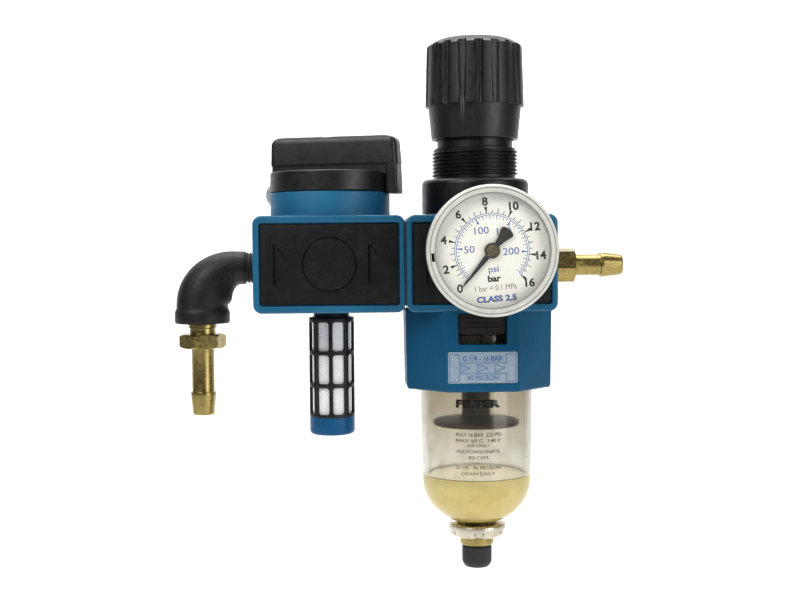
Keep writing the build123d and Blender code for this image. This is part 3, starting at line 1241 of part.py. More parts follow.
with BuildPart() as gauge_lens:
    turned(
        GAUGE,
        (0, GAUGE_FRONT_Y),
        (GAUGE_RADIUS - 1.2, GAUGE_FRONT_Y),
        (GAUGE_RADIUS - 0.3, GAUGE_FRONT_Y + 0.4),
        (GAUGE_RADIUS, GAUGE_FRONT_Y + 1.3),
        (GAUGE_RADIUS, -78.1),
        (GAUGE_RADIUS - 1.08, -78.1),
        (GAUGE_RADIUS - 1.08, -80.7),
        (GAUGE_RADIUS - 2.6, -80.7),
        (GAUGE_RADIUS - 2.6, -81.6),
        (0, -81.6),
    )
keep(gauge_lens, "gauge_lens")

with BuildPart() as gauge_dial:
    sleeve(GAUGE, 1.6, GAUGE_RADIUS - 2.25, DIAL_Y - 0.5, DIAL_Y)
keep(gauge_dial, "gauge_dial")

POINTER_PLANE = Plane(origin=(GAUGE_X, DIAL_Y - 1.1, GAUGE_Z), x_dir=(1, 0, 0), z_dir=(0, -1, 0))
with BuildPart() as gauge_pointer:
    with BuildSketch(POINTER_PLANE.rotated((0, -POINTER_ANGLE, 0))) as needle:
        with BuildLine():
            Polyline(
                (POINTER_LENGTH, 0.12),
                (2.5, 0.85),
                (-2.5, 0.85),
                (-10.0, 2.4),
                (-10.0, -2.4),
                (-2.5, -0.85),
                (2.5, -0.85),
                (POINTER_LENGTH, -0.12),
                close=True,
            )
        make_face()
        Circle(3.0)
        Circle(0.8, mode=Mode.SUBTRACT)
    extrude(needle.sketch, amount=0.5)
keep(gauge_pointer, "gauge_pointer")

with BuildPart() as pointer_arbor:
    sleeve(GAUGE, 0, 2.4, DIAL_Y - 2.6, DIAL_Y - 1.6)
    sleeve(GAUGE, 0, 0.8, DIAL_Y - 2.6, -66.5)
    sleeve(GAUGE, 0, PINION_RADIUS, -73.4, -71.4)
keep(pointer_arbor, "pointer_arbor")

with BuildPart() as movement_frame:
    for plate_y in (-75.4, -69.0):
        with BuildSketch(Plane.XZ.offset(-plate_y)) as plate:
            with Locations((GAUGE_X, GAUGE_Z - 5.0)):
                RectangleRounded(13, 22, 3)
            with Locations((GAUGE_X, GAUGE_Z)):
                Circle(0.86, mode=Mode.SUBTRACT)
            with Locations((GAUGE_X, GAUGE_Z - SECTOR_DISTANCE)):
                Circle(0.86, mode=Mode.SUBTRACT)
        extrude(plate.sketch, amount=1.0)
    with BuildSketch(Plane.XZ.offset(69.0)) as pillars:
        with Locations((GAUGE_X - 5.2, GAUGE_Z + 3.6), (GAUGE_X + 5.2, GAUGE_Z + 3.6)):
            Circle(0.9)
    extrude(pillars.sketch, amount=7)
    sleeve(facing(GAUGE_X, GAUGE_Z - 14.6), 0, 1.4, -69.2, -63.4)
keep(movement_frame, "movement_frame")

with BuildPart() as gauge_sector:
    pivot = facing(GAUGE_X, GAUGE_Z - SECTOR_DISTANCE)
    sleeve(pivot, 0, 0.8, -76.2, -69.2)
    fan_up = Plane(origin=(GAUGE_X, -71.9, GAUGE_Z - SECTOR_DISTANCE), x_dir=(1, 0, 0), z_dir=(0, -1, 0))
    with BuildSketch(fan_up.rotated((0, SECTOR_REST_TURN, 0))) as fan:
        spread = math.radians(SECTOR_HALF_ANGLE)
        corner = (SECTOR_RADIUS * math.sin(spread), SECTOR_RADIUS * math.cos(spread))
        with BuildLine():
            Polyline((-corner[0], corner[1]), (-1.2, -2.0), (1.2, -2.0), corner)
            ThreePointArc(corner, (0, SECTOR_RADIUS), (-corner[0], corner[1]))
        make_face()
    extrude(fan.sketch, amount=1.0)
keep(gauge_sector, "gauge_sector")

TUBE_AXIS = Axis((GAUGE_X, 0, GAUGE_Z), (0, -1, 0))
TUBE_START = Plane(origin=(GAUGE_X, 0, GAUGE_Z), x_dir=(1, 0, 0), z_dir=(0, 0, 1)).rotated((0, 65, 0))
with BuildPart() as bourdon_tube:
    with BuildSketch(TUBE_START) as tube_section:
        with Locations((18.0, -67.6)):
            Ellipse(1.2, 2.6)
    revolve(tube_section.sketch, axis=TUBE_AXIS, revolution_arc=235)
keep(bourdon_tube, "bourdon_tube")
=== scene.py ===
"""Looks of a compressed-air service unit: an on-off valve and a filter regulator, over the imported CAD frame.

Shapes are written in millimetres in the frame's own axes and scaled to metres as their mesh is made.
"""

import math

import bmesh
import bpy
from mathutils import Matrix, Vector


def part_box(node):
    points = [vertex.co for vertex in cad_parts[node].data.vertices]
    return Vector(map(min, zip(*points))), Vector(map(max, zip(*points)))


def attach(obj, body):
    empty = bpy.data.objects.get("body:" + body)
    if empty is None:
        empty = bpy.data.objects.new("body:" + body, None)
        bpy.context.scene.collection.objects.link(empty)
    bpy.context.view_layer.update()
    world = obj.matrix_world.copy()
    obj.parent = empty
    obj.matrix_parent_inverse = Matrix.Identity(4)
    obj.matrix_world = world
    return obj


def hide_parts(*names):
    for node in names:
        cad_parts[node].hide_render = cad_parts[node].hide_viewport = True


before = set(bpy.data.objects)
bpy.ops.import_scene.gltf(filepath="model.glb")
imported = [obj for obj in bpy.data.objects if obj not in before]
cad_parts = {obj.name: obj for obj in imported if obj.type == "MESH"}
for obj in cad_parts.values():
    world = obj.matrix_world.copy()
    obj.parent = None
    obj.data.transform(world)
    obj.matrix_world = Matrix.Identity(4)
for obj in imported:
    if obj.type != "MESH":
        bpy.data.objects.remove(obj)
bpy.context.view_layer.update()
MM = 0.001
TAU = 2 * math.pi


class Span:
    """A CAD node's box, in millimetres."""

    def __init__(self, node):
        low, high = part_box(node)
        self.x0, self.y0, self.z0 = (value / MM for value in low)
        self.x1, self.y1, self.z1 = (value / MM for value in high)
        self.x = (self.x0 + self.x1) / 2
        self.y = (self.y0 + self.y1) / 2
        self.z = (self.z0 + self.z1) / 2
        self.radius = (self.x1 - self.x0) / 2


REGULATOR_BLOCK = Span("regulator_body")
TURRET = Span("valve_turret")
KNOB = Span("adjusting_knob")
BONNET = Span("bonnet")
GUARD = Span("filter_guard")
BOWL = Span("bowl")
LENS = Span("gauge_lens")
PORT_Y = TURRET.y
VALVE_AXIS = (TURRET.x, PORT_Y)
REGULATOR_AXIS = (BONNET.x, PORT_Y)
BLOCK_TOP = REGULATOR_BLOCK.z1
BLOCK_BOTTOM = REGULATOR_BLOCK.z0
BLOCK_FRONT = REGULATOR_BLOCK.y0
BLOCK_HEIGHT = BLOCK_TOP - BLOCK_BOTTOM
BLOCK_MIDDLE = (BLOCK_TOP + BLOCK_BOTTOM) / 2
GAUGE_AXIS = (LENS.x, LENS.z)

# ---- camera

FOCAL_PIXELS = 1227
FRAME_WIDTH = 800
CAMERA_PLACE = (-20.1, -545.6, 8.4)
CAMERA_TARGET = (-1.4, -25.6, -14.3)
CAMERA_ROLL = 0.47


def make_camera():
    data = bpy.data.cameras.new("camera")
    data.sensor_width = 36.0
    data.lens = FOCAL_PIXELS / FRAME_WIDTH * data.sensor_width
    data.clip_start = 0.01
    camera = bpy.data.objects.new("camera", data)
    place = Vector(CAMERA_PLACE) * MM
    aim = (Vector(CAMERA_TARGET) * MM - place).to_track_quat("-Z", "Y").to_matrix().to_4x4()
    roll = Matrix.Rotation(math.radians(-CAMERA_ROLL), 4, "Z")
    camera.matrix_world = Matrix.Translation(place) @ aim @ roll
    bpy.context.scene.collection.objects.link(camera)
    bpy.context.scene.camera = camera


make_camera()

# ---- mesh helpers


def new_piece(name, vertices, faces, sharp=32.0):
    """A mesh object from points in millimetres, shaded smooth up to an edge angle in degrees."""
    mesh = bpy.data.meshes.new(name)
    mesh.from_pydata([(x * MM, y * MM, z * MM) for x, y, z in vertices], [], faces)
    tidy = bmesh.new()
    tidy.from_mesh(mesh)
    bmesh.ops.remove_doubles(tidy, verts=tidy.verts, dist=1e-7)
    bmesh.ops.recalc_face_normals(tidy, faces=tidy.faces)
    tidy.to_mesh(mesh)
    tidy.free()
    piece = bpy.data.objects.new(name, mesh)
    bpy.context.scene.collection.objects.link(piece)
    shade(piece, sharp)
    return piece


def shade(piece, sharp=32.0):
    mesh = piece.data
    mesh.polygons.foreach_set("use_smooth", [True] * len(mesh.polygons))
    mesh.set_sharp_from_angle(angle=math.radians(sharp))
    mesh.update()


def rounded(corners, steps=5, closed=False):
    """An outline whose corners are rounded where a corner gives a third value, its radius."""
    points = []
    last = len(corners) - 1
    for index, corner in enumerate(corners):
        here = Vector(corner[:2])
        radius = corner[2] if len(corner) > 2 else 0
        if not radius or (not closed and index in (0, last)):
            points.append(tuple(here))
            continue
        before = (Vector(corners[index - 1][:2]) - here).normalized()
        after = (Vector(corners[(index + 1) % len(corners)][:2]) - here).normalized()
        half = before.angle(after) / 2
        reach = radius / math.tan(half)
        centre = here + (before + after).normalized() * radius / math.sin(half)
        start = here + before * reach - centre
        turn = start.angle_signed(here + after * reach - centre)
        for step in range(steps + 1):
            angle = -turn * step / steps
            cosine, sine = math.cos(angle), math.sin(angle)
            x, y = start.x * cosine - start.y * sine, start.x * sine + start.y * cosine
            points.append((centre.x + x, centre.y + y))
    return points


def along(axis, centre, radius, angle, height):
    """A point by radius, angle and height about an axis, with its centre on the other two axes."""
    across, up = radius * math.cos(angle), radius * math.sin(angle)
    if axis == "Z":
        return (centre[0] + across, centre[1] + up, height)
    if axis == "Y":
        return (centre[0] + across, height, centre[1] + up)
    return (height, centre[0] + across, centre[1] + up)


def lathe(name, axis, centre, outline, turns=96, shape=None, sharp=32.0):
    """Turns an outline of (radius, height) points. shape(radius, height, angle) may change a radius."""
    vertices, rings, faces = [], [], []
    for radius, height in rounded(outline):
        if radius < 1e-6:
            rings.append([len(vertices)] * turns)
            vertices.append(along(axis, centre, 0, 0, height))
            continue
        rings.append(range(len(vertices), len(vertices) + turns))
        for step in range(turns):
            angle = TAU * step / turns
            size = shape(radius, height, angle) if shape else radius
            vertices.append(along(axis, centre, size, angle, height))
    for low, high in zip(rings, rings[1:]):
        for step in range(turns):
            after = (step + 1) % turns
            corners = [low[step], low[after], high[after], high[step]]
            face = list(dict.fromkeys(corners))
            if len(face) > 2:
                faces.append(face)
    return new_piece(name, vertices, faces, sharp)


def solid_ring(outline):
    """Closes an outline on itself, for a turned piece with a hole through it."""
    return list(outline) + [outline[0]]


def loft(name, loops, sharp=32.0):
    """Joins loops of points, all of one length, in order, and closes the first and the last."""
    count, last = len(loops[0]), len(loops) - 1
    vertices = [point for loop in loops for point in loop]
    faces = []
    for base in range(0, last * count, count):
        for step in range(count):
            after = (step + 1) % count
            faces.append([base + step, base + after, base + count + after, base + count + step])
    faces += [list(range(count))[::-1], list(range(last * count, (last + 1) * count))]
    return new_piece(name, vertices, faces, sharp)


def quarter_turns(steps):
    return [math.pi / 2 * step / steps for step in range(steps + 1)]


def rectangle(width, height, radius, steps=6):
    """A rounded rectangle about the origin."""
    x, y = width / 2, height / 2
    corners = [(x, -y, radius), (x, y, radius), (-x, y, radius), (-x, -y, radius)]
    return rounded(corners, steps, closed=True)


def front(points, x, z, y):
    """Puts a flat outline on a plane that faces the front, at depth y."""
    return [(x + u, y, z + v) for u, v in points]


def plates(width, height, radius, x, z, levels):
    """Loops of an upright rounded plate. levels are pairs of an inset and a depth."""
    loops = []
    for inset, y in levels:
        loops.append(front(rectangle(width - 2 * inset, height - 2 * inset, radius - inset), x, z, y))
    return loops


def flat(points, x, y, z):
    """Puts a flat outline on a level plane."""
    return [(x + u, y + v, z) for u, v in points]


def turned_by(points, degrees):
    cosine, sine = math.cos(math.radians(degrees)), math.sin(math.radians(degrees))
    return [(u * cosine - v * sine, u * sine + v * cosine) for u, v in points]


def hexagon_limit(across_flats, turn=0.0):
    """Limits a turned piece's radius to a hexagon."""

    def limit(radius, height, angle):
        off = (angle - math.radians(turn)) % (TAU / 6) - TAU / 12
        return min(radius, across_flats / 2 / math.cos(off))

    return limit


def hexagon_collar(name, axis, centre, across_flats, low, high, bore, turn=0.0):
    """A hexagonal collar whose corners are taken off by a cone at each end."""
    corner = across_flats / math.sqrt(3)
    face = across_flats / 2 * 0.985
    drop = (corner - face) * 0.55
    levels = [(bore, low), (face * 0.8, low)]
    levels += [(face + (corner - face) * step / 6, low + drop * step / 6) for step in range(7)]
    levels += [(corner, (low + high) / 2)]
    levels += [(radius, low + high - height) for radius, height in levels[-2::-1]]
    outline = solid_ring(levels)
    return lathe(name, axis, centre, outline, turns=144, shape=hexagon_limit(across_flats, turn), sharp=24)


def screw_ridge(name, axis, centre, radius, depth, low, high, pitch, steps=64):
    """A helical ridge that runs out at both ends. Its foot sits inside the core that carries it."""
    turns = (high - low) / pitch - 1
    count = int(turns * steps)
    loops = []
    for step in range(count + 1):
        share = step / count
        angle = TAU * turns * share
        height = low + pitch * (0.5 + turns * share)
        fade = min(1.0, share * turns * 4, (1 - share) * turns * 4)
        crest = radius - depth * (1 - fade)
        foot = radius - depth - 0.15
        half = pitch * 0.46
        loops.append([
            along(axis, centre, foot, angle, height - half),
            along(axis, centre, crest, angle, height - pitch * 0.09),
            along(axis, centre, crest, angle, height + pitch * 0.09),
            along(axis, centre, foot, angle, height + half),
        ])
    return loft(name, loops)


def join(name, *parts):
    """Makes one piece of several meshes."""
    merged = bmesh.new()
    slots = []
    for part in parts:
        offset = len(slots)
        slots += list(part.data.materials)
        before = len(merged.faces)
        merged.from_mesh(part.data)
        merged.faces.ensure_lookup_table()
        for face in merged.faces[before:]:
            face.material_index += offset
    mesh = bpy.data.meshes.new(name)
    merged.to_mesh(mesh)
    merged.free()
    for material in slots:
        mesh.materials.append(material)
    piece = bpy.data.objects.new(name, mesh)
    bpy.context.scene.collection.objects.link(piece)
    for part in parts:
        bpy.data.objects.remove(part)
    return piece


def combine(piece, *tools, operation="DIFFERENCE", sharp=32.0):
    """Cuts tools out of a piece, or joins them to it, with exact booleans."""
    for tool in tools:
        step = piece.modifiers.new("combine", "BOOLEAN")
        step.operation = operation
        step.solver = "EXACT"
        step.object = tool
    apply_modifiers(piece, sharp)
    for tool in tools:
        bpy.data.objects.remove(tool)
    return piece


def apply_modifiers(piece, sharp=32.0):
    graph = bpy.context.evaluated_depsgraph_get()
    mesh = bpy.data.meshes.new_from_object(piece.evaluated_get(graph))
    piece.modifiers.clear()
    piece.data = mesh
    if sharp:
        shade(piece, sharp)


def soften(piece, width, segments=3, angle=30.0, sharp=32.0):
    """Rounds a piece's sharp edges by a width in millimetres."""
    bevel = piece.modifiers.new("soften", "BEVEL")
    bevel.width = width * MM
    bevel.segments = segments
    bevel.limit_method = "ANGLE"
    bevel.angle_limit = math.radians(angle)
    bevel.harden_normals = False
    apply_modifiers(piece, sharp)
    return piece


# ---- materials


def srgb(red, green, blue):
    """A linear colour from 0-255 display values."""
    values = []
    for value in (red, green, blue):
        share = value / 255
        values.append(share / 12.92 if share <= 0.04045 else ((share + 0.055) / 1.055) ** 2.4)
    return (*values, 1.0)


class Look:
    """A procedural material, with its texture coordinates in millimetres."""

    def __init__(self, name, **fixed):
        self.material = bpy.data.materials.new(name)
        self.material.use_nodes = True
        self.tree = self.material.node_tree
        self.shader = self.tree.nodes["Principled BSDF"]
        for socket, value in fixed.items():
            self.shader.inputs[socket.replace("_", " ")].default_value = value
        place = self.node("TexCoord").outputs["Object"]
        self.place = self.node("VectorMath", {0: place, "Scale": 1 / MM}, operation="SCALE").outputs[0]

    def connect(self, value, socket):
        """Sets a socket to a value or links it to an output. A triple is a 0-255 display colour."""
        if isinstance(value, tuple) and len(value) == 3:
            value = srgb(*value)
        if isinstance(value, (tuple, list, int, float)):
            socket.default_value = value
        else:
            self.tree.links.new(value, socket)

    def node(self, kind, sockets=(), **settings):
        """A new shader node with its settings made and its sockets set or linked."""
        node = self.tree.nodes.new("ShaderNode" + kind)
        for setting, value in settings.items():
            setattr(node, setting, value)
        for socket, value in dict(sockets).items():
            self.connect(value, node.inputs[socket])
        return node

    def noise(self, size, detail=4.0, roughness=0.55, stretch=None):
        """Noise with features of a size in millimetres, stretched along the axes if asked."""
        place = self.place
        if stretch:
            place = self.node("Mapping", {"Scale": stretch, "Vector": place}).outputs[0]
        sockets = {"Scale": 1 / size, "Detail": detail, "Roughness": roughness, "Vector": place}
        return self.node("TexNoise", sockets).outputs["Fac"]

    def cells(self, size):
        """The distance to the nearest of scattered points."""
        return self.node("TexVoronoi", {"Scale": 1 / size, "Vector": self.place}).outputs["Distance"]

    def ramp(self, value, low, high, start=0.0, end=1.0):
        """Maps low..high of a value to start..end."""
        sockets = {"Value": value, "From Min": low, "From Max": high, "To Min": start, "To Max": end}
        return self.node("MapRange", sockets).outputs[0]

    def maths(self, operation, first, second):
        return self.node("Math", {0: first, 1: second}, operation=operation).outputs[0]

    def mix(self, share, first, second):
        """Mixes two colours, each a colour or an output."""
        return self.node("Mix", {0: share, 6: first, 7: second}, data_type="RGBA").outputs[2]

    def height(self):
        """The height in millimetres."""
        return self.node("SeparateXYZ", {0: self.place}).outputs[2]

    def bump(self, height, distance):
        """Adds relief of a depth in millimetres, on top of any relief already there."""
        normal = self.shader.inputs["Normal"]
        sockets = {"Distance": distance * MM, "Height": height}
        if normal.is_linked:
            sockets["Normal"] = normal.links[0].from_socket
        self.connect(self.node("Bump", {"Strength": 1.0, **sockets}).outputs[0], normal)

    def edges(self, radius):
        """1 along convex and concave edges, 0 on open faces, from the change that a small bevel makes."""
        bevel = self.node("Bevel", {"Radius": radius * MM}, samples=6).outputs[0]
        normal = self.node("NewGeometry").outputs["Normal"]
        dot = self.node("VectorMath", {0: bevel, 1: normal}, operation="DOT_PRODUCT").outputs["Value"]
        return self.ramp(self.maths("SUBTRACT", 1.0, dot), 0.02, 0.25)

    def colour(self, value):
        self.connect(value, self.shader.inputs["Base Color"])

    def drift(self, size, first, second, low=0.35, high=0.68, detail=5):
        """A colour that wanders between two colours, in patches of a size in millimetres."""
        return self.mix(self.ramp(self.noise(size, detail), low, high), first, second)

    def gloss(self, size, smooth, rough, detail=5):
        """Roughness that wanders between two values, in patches of a size in millimetres."""
        share = self.ramp(self.noise(size, detail), 0.3, 0.7, smooth, rough)
        self.connect(share, self.shader.inputs["Roughness"])


def painted(name, colour, dark, light, gloss=0.36, specular=0.35):
    """Satin enamel on die-cast metal: a faint orange peel, colour drift, rubbed edges painted lighter as an
    edge highlight, and specks of dirt.
    """
    look = Look(name, Specular_IOR_Level=specular)
    body = look.drift(26, dark, colour, 0.35, 0.65, 3)
    # Painted highlight and wear: edges, broken up in patches, turn towards the lighter colour.
    edge_wear_and_highlight = look.maths("MULTIPLY", look.edges(0.5), look.ramp(look.noise(1.6, 5), 0.42, 0.62))
    body = look.mix(look.maths("MULTIPLY", edge_wear_and_highlight, 0.55), body, light)
    specks = look.ramp(look.noise(1.1, 2), 0.72, 0.78)
    look.colour(look.mix(look.maths("MULTIPLY", specks, 0.5), body, (24, 50, 72)))
    look.gloss(4, gloss - 0.05, gloss + 0.1)
    look.bump(look.noise(0.9, 2), 0.02)
    return look.material


def black_plastic(name, colour, gloss=0.45, grain=0.16, relief=0.012, edge_wear_and_highlight_share=0.35, specular=0.35):
    """Moulded black plastic with a fine spark grain, dust, and worn edges painted lighter grey as a highlight.
    """
    look = Look(name, Specular_IOR_Level=specular)
    dust = look.ramp(look.noise(3.2, 6, 0.65), 0.5, 0.78)
    base = look.mix(look.maths("MULTIPLY", dust, 0.25), colour, (58, 56, 54))
    # Painted highlight and wear: edges, in patches, are lightened towards grey.
    edge = look.maths("MULTIPLY", look.edges(0.35), look.ramp(look.noise(1.2, 4), 0.4, 0.65))
    look.colour(look.mix(look.maths("MULTIPLY", edge, edge_wear_and_highlight_share), base, (84, 84, 84)))
    look.gloss(2.2, gloss - 0.05, gloss + 0.12)
    look.bump(look.cells(grain), relief)
    look.bump(look.noise(6, 3), 0.03)
    return look.material


def tarnished_brass(name, axis):
    """Turned brass: lathe marks about its axis, brown tarnish in patches and small pits."""
    look = Look(name, Metallic=1.0)
    patches = look.ramp(look.noise(2.6, 6, 0.65), 0.38, 0.66)
    fine = look.ramp(look.noise(0.35, 4), 0.4, 0.7)
    share = look.maths("MULTIPLY", look.maths("ADD", patches, look.maths("MULTIPLY", fine, 0.4)), 0.35)
    look.colour(look.mix(share, (168, 149, 92), (108, 94, 55)))
    look.gloss(1.4, 0.2, 0.36)
    stretch = [0.02, 0.02, 0.02]
    stretch[axis] = 5.0
    look.bump(look.noise(1.0, 2, stretch=stretch), 0.012)
    look.bump(look.noise(0.5, 5), 0.015)
    return look.material


def cast_iron(name):
    """Oiled malleable iron: pebbled casting skin, brown-black, with worn edges painted lighter as a highlight.
    """
    look = Look(name, Metallic=0.35)
    tone = look.drift(5, (16, 15, 14), (28, 26, 24))
    # Painted highlight and wear: every edge, convex and concave, is lightened towards grey-brown.
    look.colour(look.mix(look.maths("MULTIPLY", look.edges(0.6), 0.5), tone, (70, 67, 64)))
    look.gloss(1.8, 0.34, 0.6)
    look.bump(look.noise(1.1, 5, 0.65), 0.16)
    look.bump(look.noise(7, 3), 0.25)
    return look.material


def plain(name, colour, other, gloss=0.4, metallic=0.0, size=2.0, relief=0.01, grain=0.4, specular=0.5):
    """A plain moulded or plated surface with a little drift in colour and gloss."""
    look = Look(name, Metallic=metallic, Specular_IOR_Level=specular)
    look.colour(look.drift(size, colour, other))
    look.gloss(size * 0.7, gloss - 0.06, gloss + 0.1, 4)
    look.bump(look.noise(grain, 4), relief)
    return look.material


def porous(name, colour, shadow):
    """Sintered white granules."""
    look = Look(name, Roughness=0.85)
    pores = look.cells(0.45)
    look.colour(look.mix(look.ramp(pores, 0.3, 0.75), colour, shadow))
    look.bump(pores, -0.14)
    return look.material


def clear_plastic(name, tint, roughness, stain, ior):
    """Clear plastic that has yellowed a little, with a faint film of dirt."""
    look = Look(name, Transmission_Weight=1.0, IOR=ior)
    film = look.ramp(look.noise(7, 6, 0.62), 0.42, 0.8)
    tone = look.mix(look.maths("MULTIPLY", film, 0.7), tint, stain)
    # The bowl turns a darker grey towards its top, in patches.
    upper_darkening = look.maths(
        "MULTIPLY", look.ramp(look.height(), -92, -56), look.ramp(look.noise(8, 4), 0.2, 0.6, 0.7, 1.0),
    )
    look.colour(look.mix(upper_darkening, tone, (190, 184, 167)))
    haze = look.ramp(look.noise(3, 5), 0.35, 0.75, roughness, roughness + 0.12)
    look.connect(haze, look.shader.inputs["Roughness"])
    look.bump(look.noise(9, 3), 0.03)
    return look.material


def clear_window(name, alpha):
    """A flat clear pane seen as a faint gloss and dust over what is behind it."""
    look = Look(name, Roughness=0.12)
    look.colour(look.drift(5, (250, 250, 246), (226, 224, 214), 0.4, 0.7))
    dust = look.ramp(look.noise(1.4, 6, 0.65), 0.55, 0.85, alpha, alpha + 0.06)
    look.connect(dust, look.shader.inputs["Alpha"])
    return look.material


def condensate(name):
    """Milky amber water with a little dust in it, darker towards the bottom, and a painted glow that is
    brightest on its upward-facing top.
    """
    look = Look(name, Roughness=0.25, Emission_Strength=1.0)
    tone = look.drift(9, (255, 244, 178), (252, 234, 154), 0.35, 0.7, 4)
    deep = look.ramp(look.height(), -92.0, -108.0)
    tone = look.mix(look.maths("MULTIPLY", deep, 0.6), tone, (242, 214, 124))
    specks = look.ramp(look.noise(0.9, 2), 0.74, 0.78)
    look.colour(look.mix(specks, tone, (120, 84, 44)))
    look.bump(look.noise(6, 2), 0.05)
    # Painted light: an emitted glow brightens the liquid, most strongly on surfaces that face up, as a painted
    # highlight on its top.
    normal = look.node("SeparateXYZ", {0: look.node("NewGeometry").outputs["Normal"]})
    painted_glow = look.mix(look.ramp(normal.outputs[2], 0.7, 0.95), (0.13, 0.09, 0.01, 1), (0.5, 0.48, 0.4, 1))
    look.connect(painted_glow, look.shader.inputs["Emission Color"])
    return look.material


MATERIALS = {
    # The third colour of each enamel is its lighter edge colour, a painted edge highlight as well as wear.
    "blue": painted("blue_enamel", (25, 99, 134), (19, 87, 120), (110, 156, 180)),
    "turret": painted("turret_enamel", (25, 103, 141), (19, 91, 127), (120, 164, 188), 0.42),
    "guard": painted("guard_enamel", (3, 77, 112), (2, 67, 99), (70, 124, 156), 0.42, 0.17),
    "panel": black_plastic("panel_black", (7, 7, 8), 0.5, 0.22, 0.02, 0.2, 0.24),
    "knob": black_plastic("knob_black", (15, 15, 16), 0.34, 0.2, 0.012, specular=0.48),
    "bonnet": black_plastic("bonnet_black", (9, 9, 10), 0.32, 0.2, 0.01, 0.4),
    "cage": black_plastic("cage_black", (12, 12, 13), 0.4, 0.25, 0.01, 0.25),
    "cap": plain("cap_blue", (3, 80, 128), (3, 70, 112), 0.32, relief=0.006, specular=0.22),
    "porous": porous("sintered_white", (255, 255, 255), (232, 233, 236)),
    "iron": cast_iron("oiled_iron"),
    "brass_z": tarnished_brass("brass_upright", 2),
    "brass_x": tarnished_brass("brass_along", 0),
    "hub": plain("hub_bronze", (178, 160, 142), (150, 130, 112), 0.38, 0.6, 0.8, 0.01, 0.3),
    "screw": plain("post_screw", (196, 198, 200), (168, 170, 172), 0.34, 0.35, 1.5),
    "steel": plain("zinc_steel", (176, 178, 180), (140, 142, 144), 0.32, 1.0, 1.5),
    "acetal": plain("acetal", (222, 220, 212), (204, 200, 190), 0.45),
    "nitrile": plain("nitrile", (26, 26, 27), (40, 40, 40), 0.6),
    "alloy": plain("alloy", (186, 188, 190), (156, 158, 160), 0.35, 1.0),
    "nut": plain("nut_alloy", (206, 200, 184), (186, 178, 158), 0.22, 1.0, 6.0, 0.001, 2.0),
    "label": plain("label_film", (143, 160, 172), (128, 146, 162), 0.36, relief=0.004),
    "label_ink": plain("label_ink", (44, 86, 146), (56, 98, 154), 0.4),
    "baffle": plain("baffle_dark", (116, 110, 101), (90, 85, 77), 0.4),
    "drain": black_plastic("drain_black", (30, 33, 36), 0.36, 0.2, 0.01, 0.4),
    "case": plain("case_black", (34, 34, 36), (26, 26, 28), 0.32),
    "dial": plain("dial_ivory", (246, 245, 236), (240, 238, 226), 0.5, size=9.0, relief=0.002),
    "ink_black": plain("ink_black", (12, 12, 13), (20, 20, 20), 0.5, specular=0.2),
    "ink_grey": plain("ink_grey", (104, 90, 80), (122, 108, 96), 0.5),
    "ink_blue": plain("ink_blue", (66, 98, 166), (78, 110, 174), 0.5),
    "latch": plain("latch_brown", (30, 25, 20), (20, 17, 14), 0.4, specular=0.3),
    "pointer": plain("pointer_black", (7, 7, 8), (13, 13, 14), 0.4, specular=0.15),
    "bowl": clear_plastic("bowl_clear", (230, 229, 222), 0.09, (186, 174, 146), 1.45),
    "lens": clear_window("lens_clear", 0.025),
    "bezel": plain("bezel_frosted", (214, 213, 204), (200, 199, 190), 0.28, size=5),
    # Grey that stands for the shade at the gauge bezel's inner edge.
    "rim_shade_grey": plain("rim_shade_grey", (150, 150, 146), (128, 128, 124), 0.4),
    "liquid": condensate("condensate"),
    "scum": plain("water_line", (98, 78, 44), (132, 108, 64), 0.4),
}


def dress(piece, material, slot, *nodes, body="housings"):
    """Gives a piece its material, hides the CAD nodes it stands for and attaches it to the body it rides on.
    The slot argument is not used.
    """
    piece.data.materials.clear()
    piece.data.materials.append(MATERIALS[material])
    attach(piece, body)
    if nodes:
        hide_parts(*nodes)
    return piece


def turned(name, axis, centre, outline, turns, *looks, body="housings", **options):
    """Turns a piece and dresses it. looks are its material, slot and CAD nodes."""
    return dress(lathe(name, axis, centre, outline, turns, **options), *looks, body=body)


# ---- blocks and panels

PANEL = Span("valve_front_panel")
PANEL_GAP = 0.65
BLOCK_CORNER = 3.5
PANEL_CORNER = 1.2
PANEL_HEIGHT = 31.9
HOLE_X, HOLE_Z = 48.5, 12.0
RECESS_FLOOR = BLOCK_FRONT + 2.2


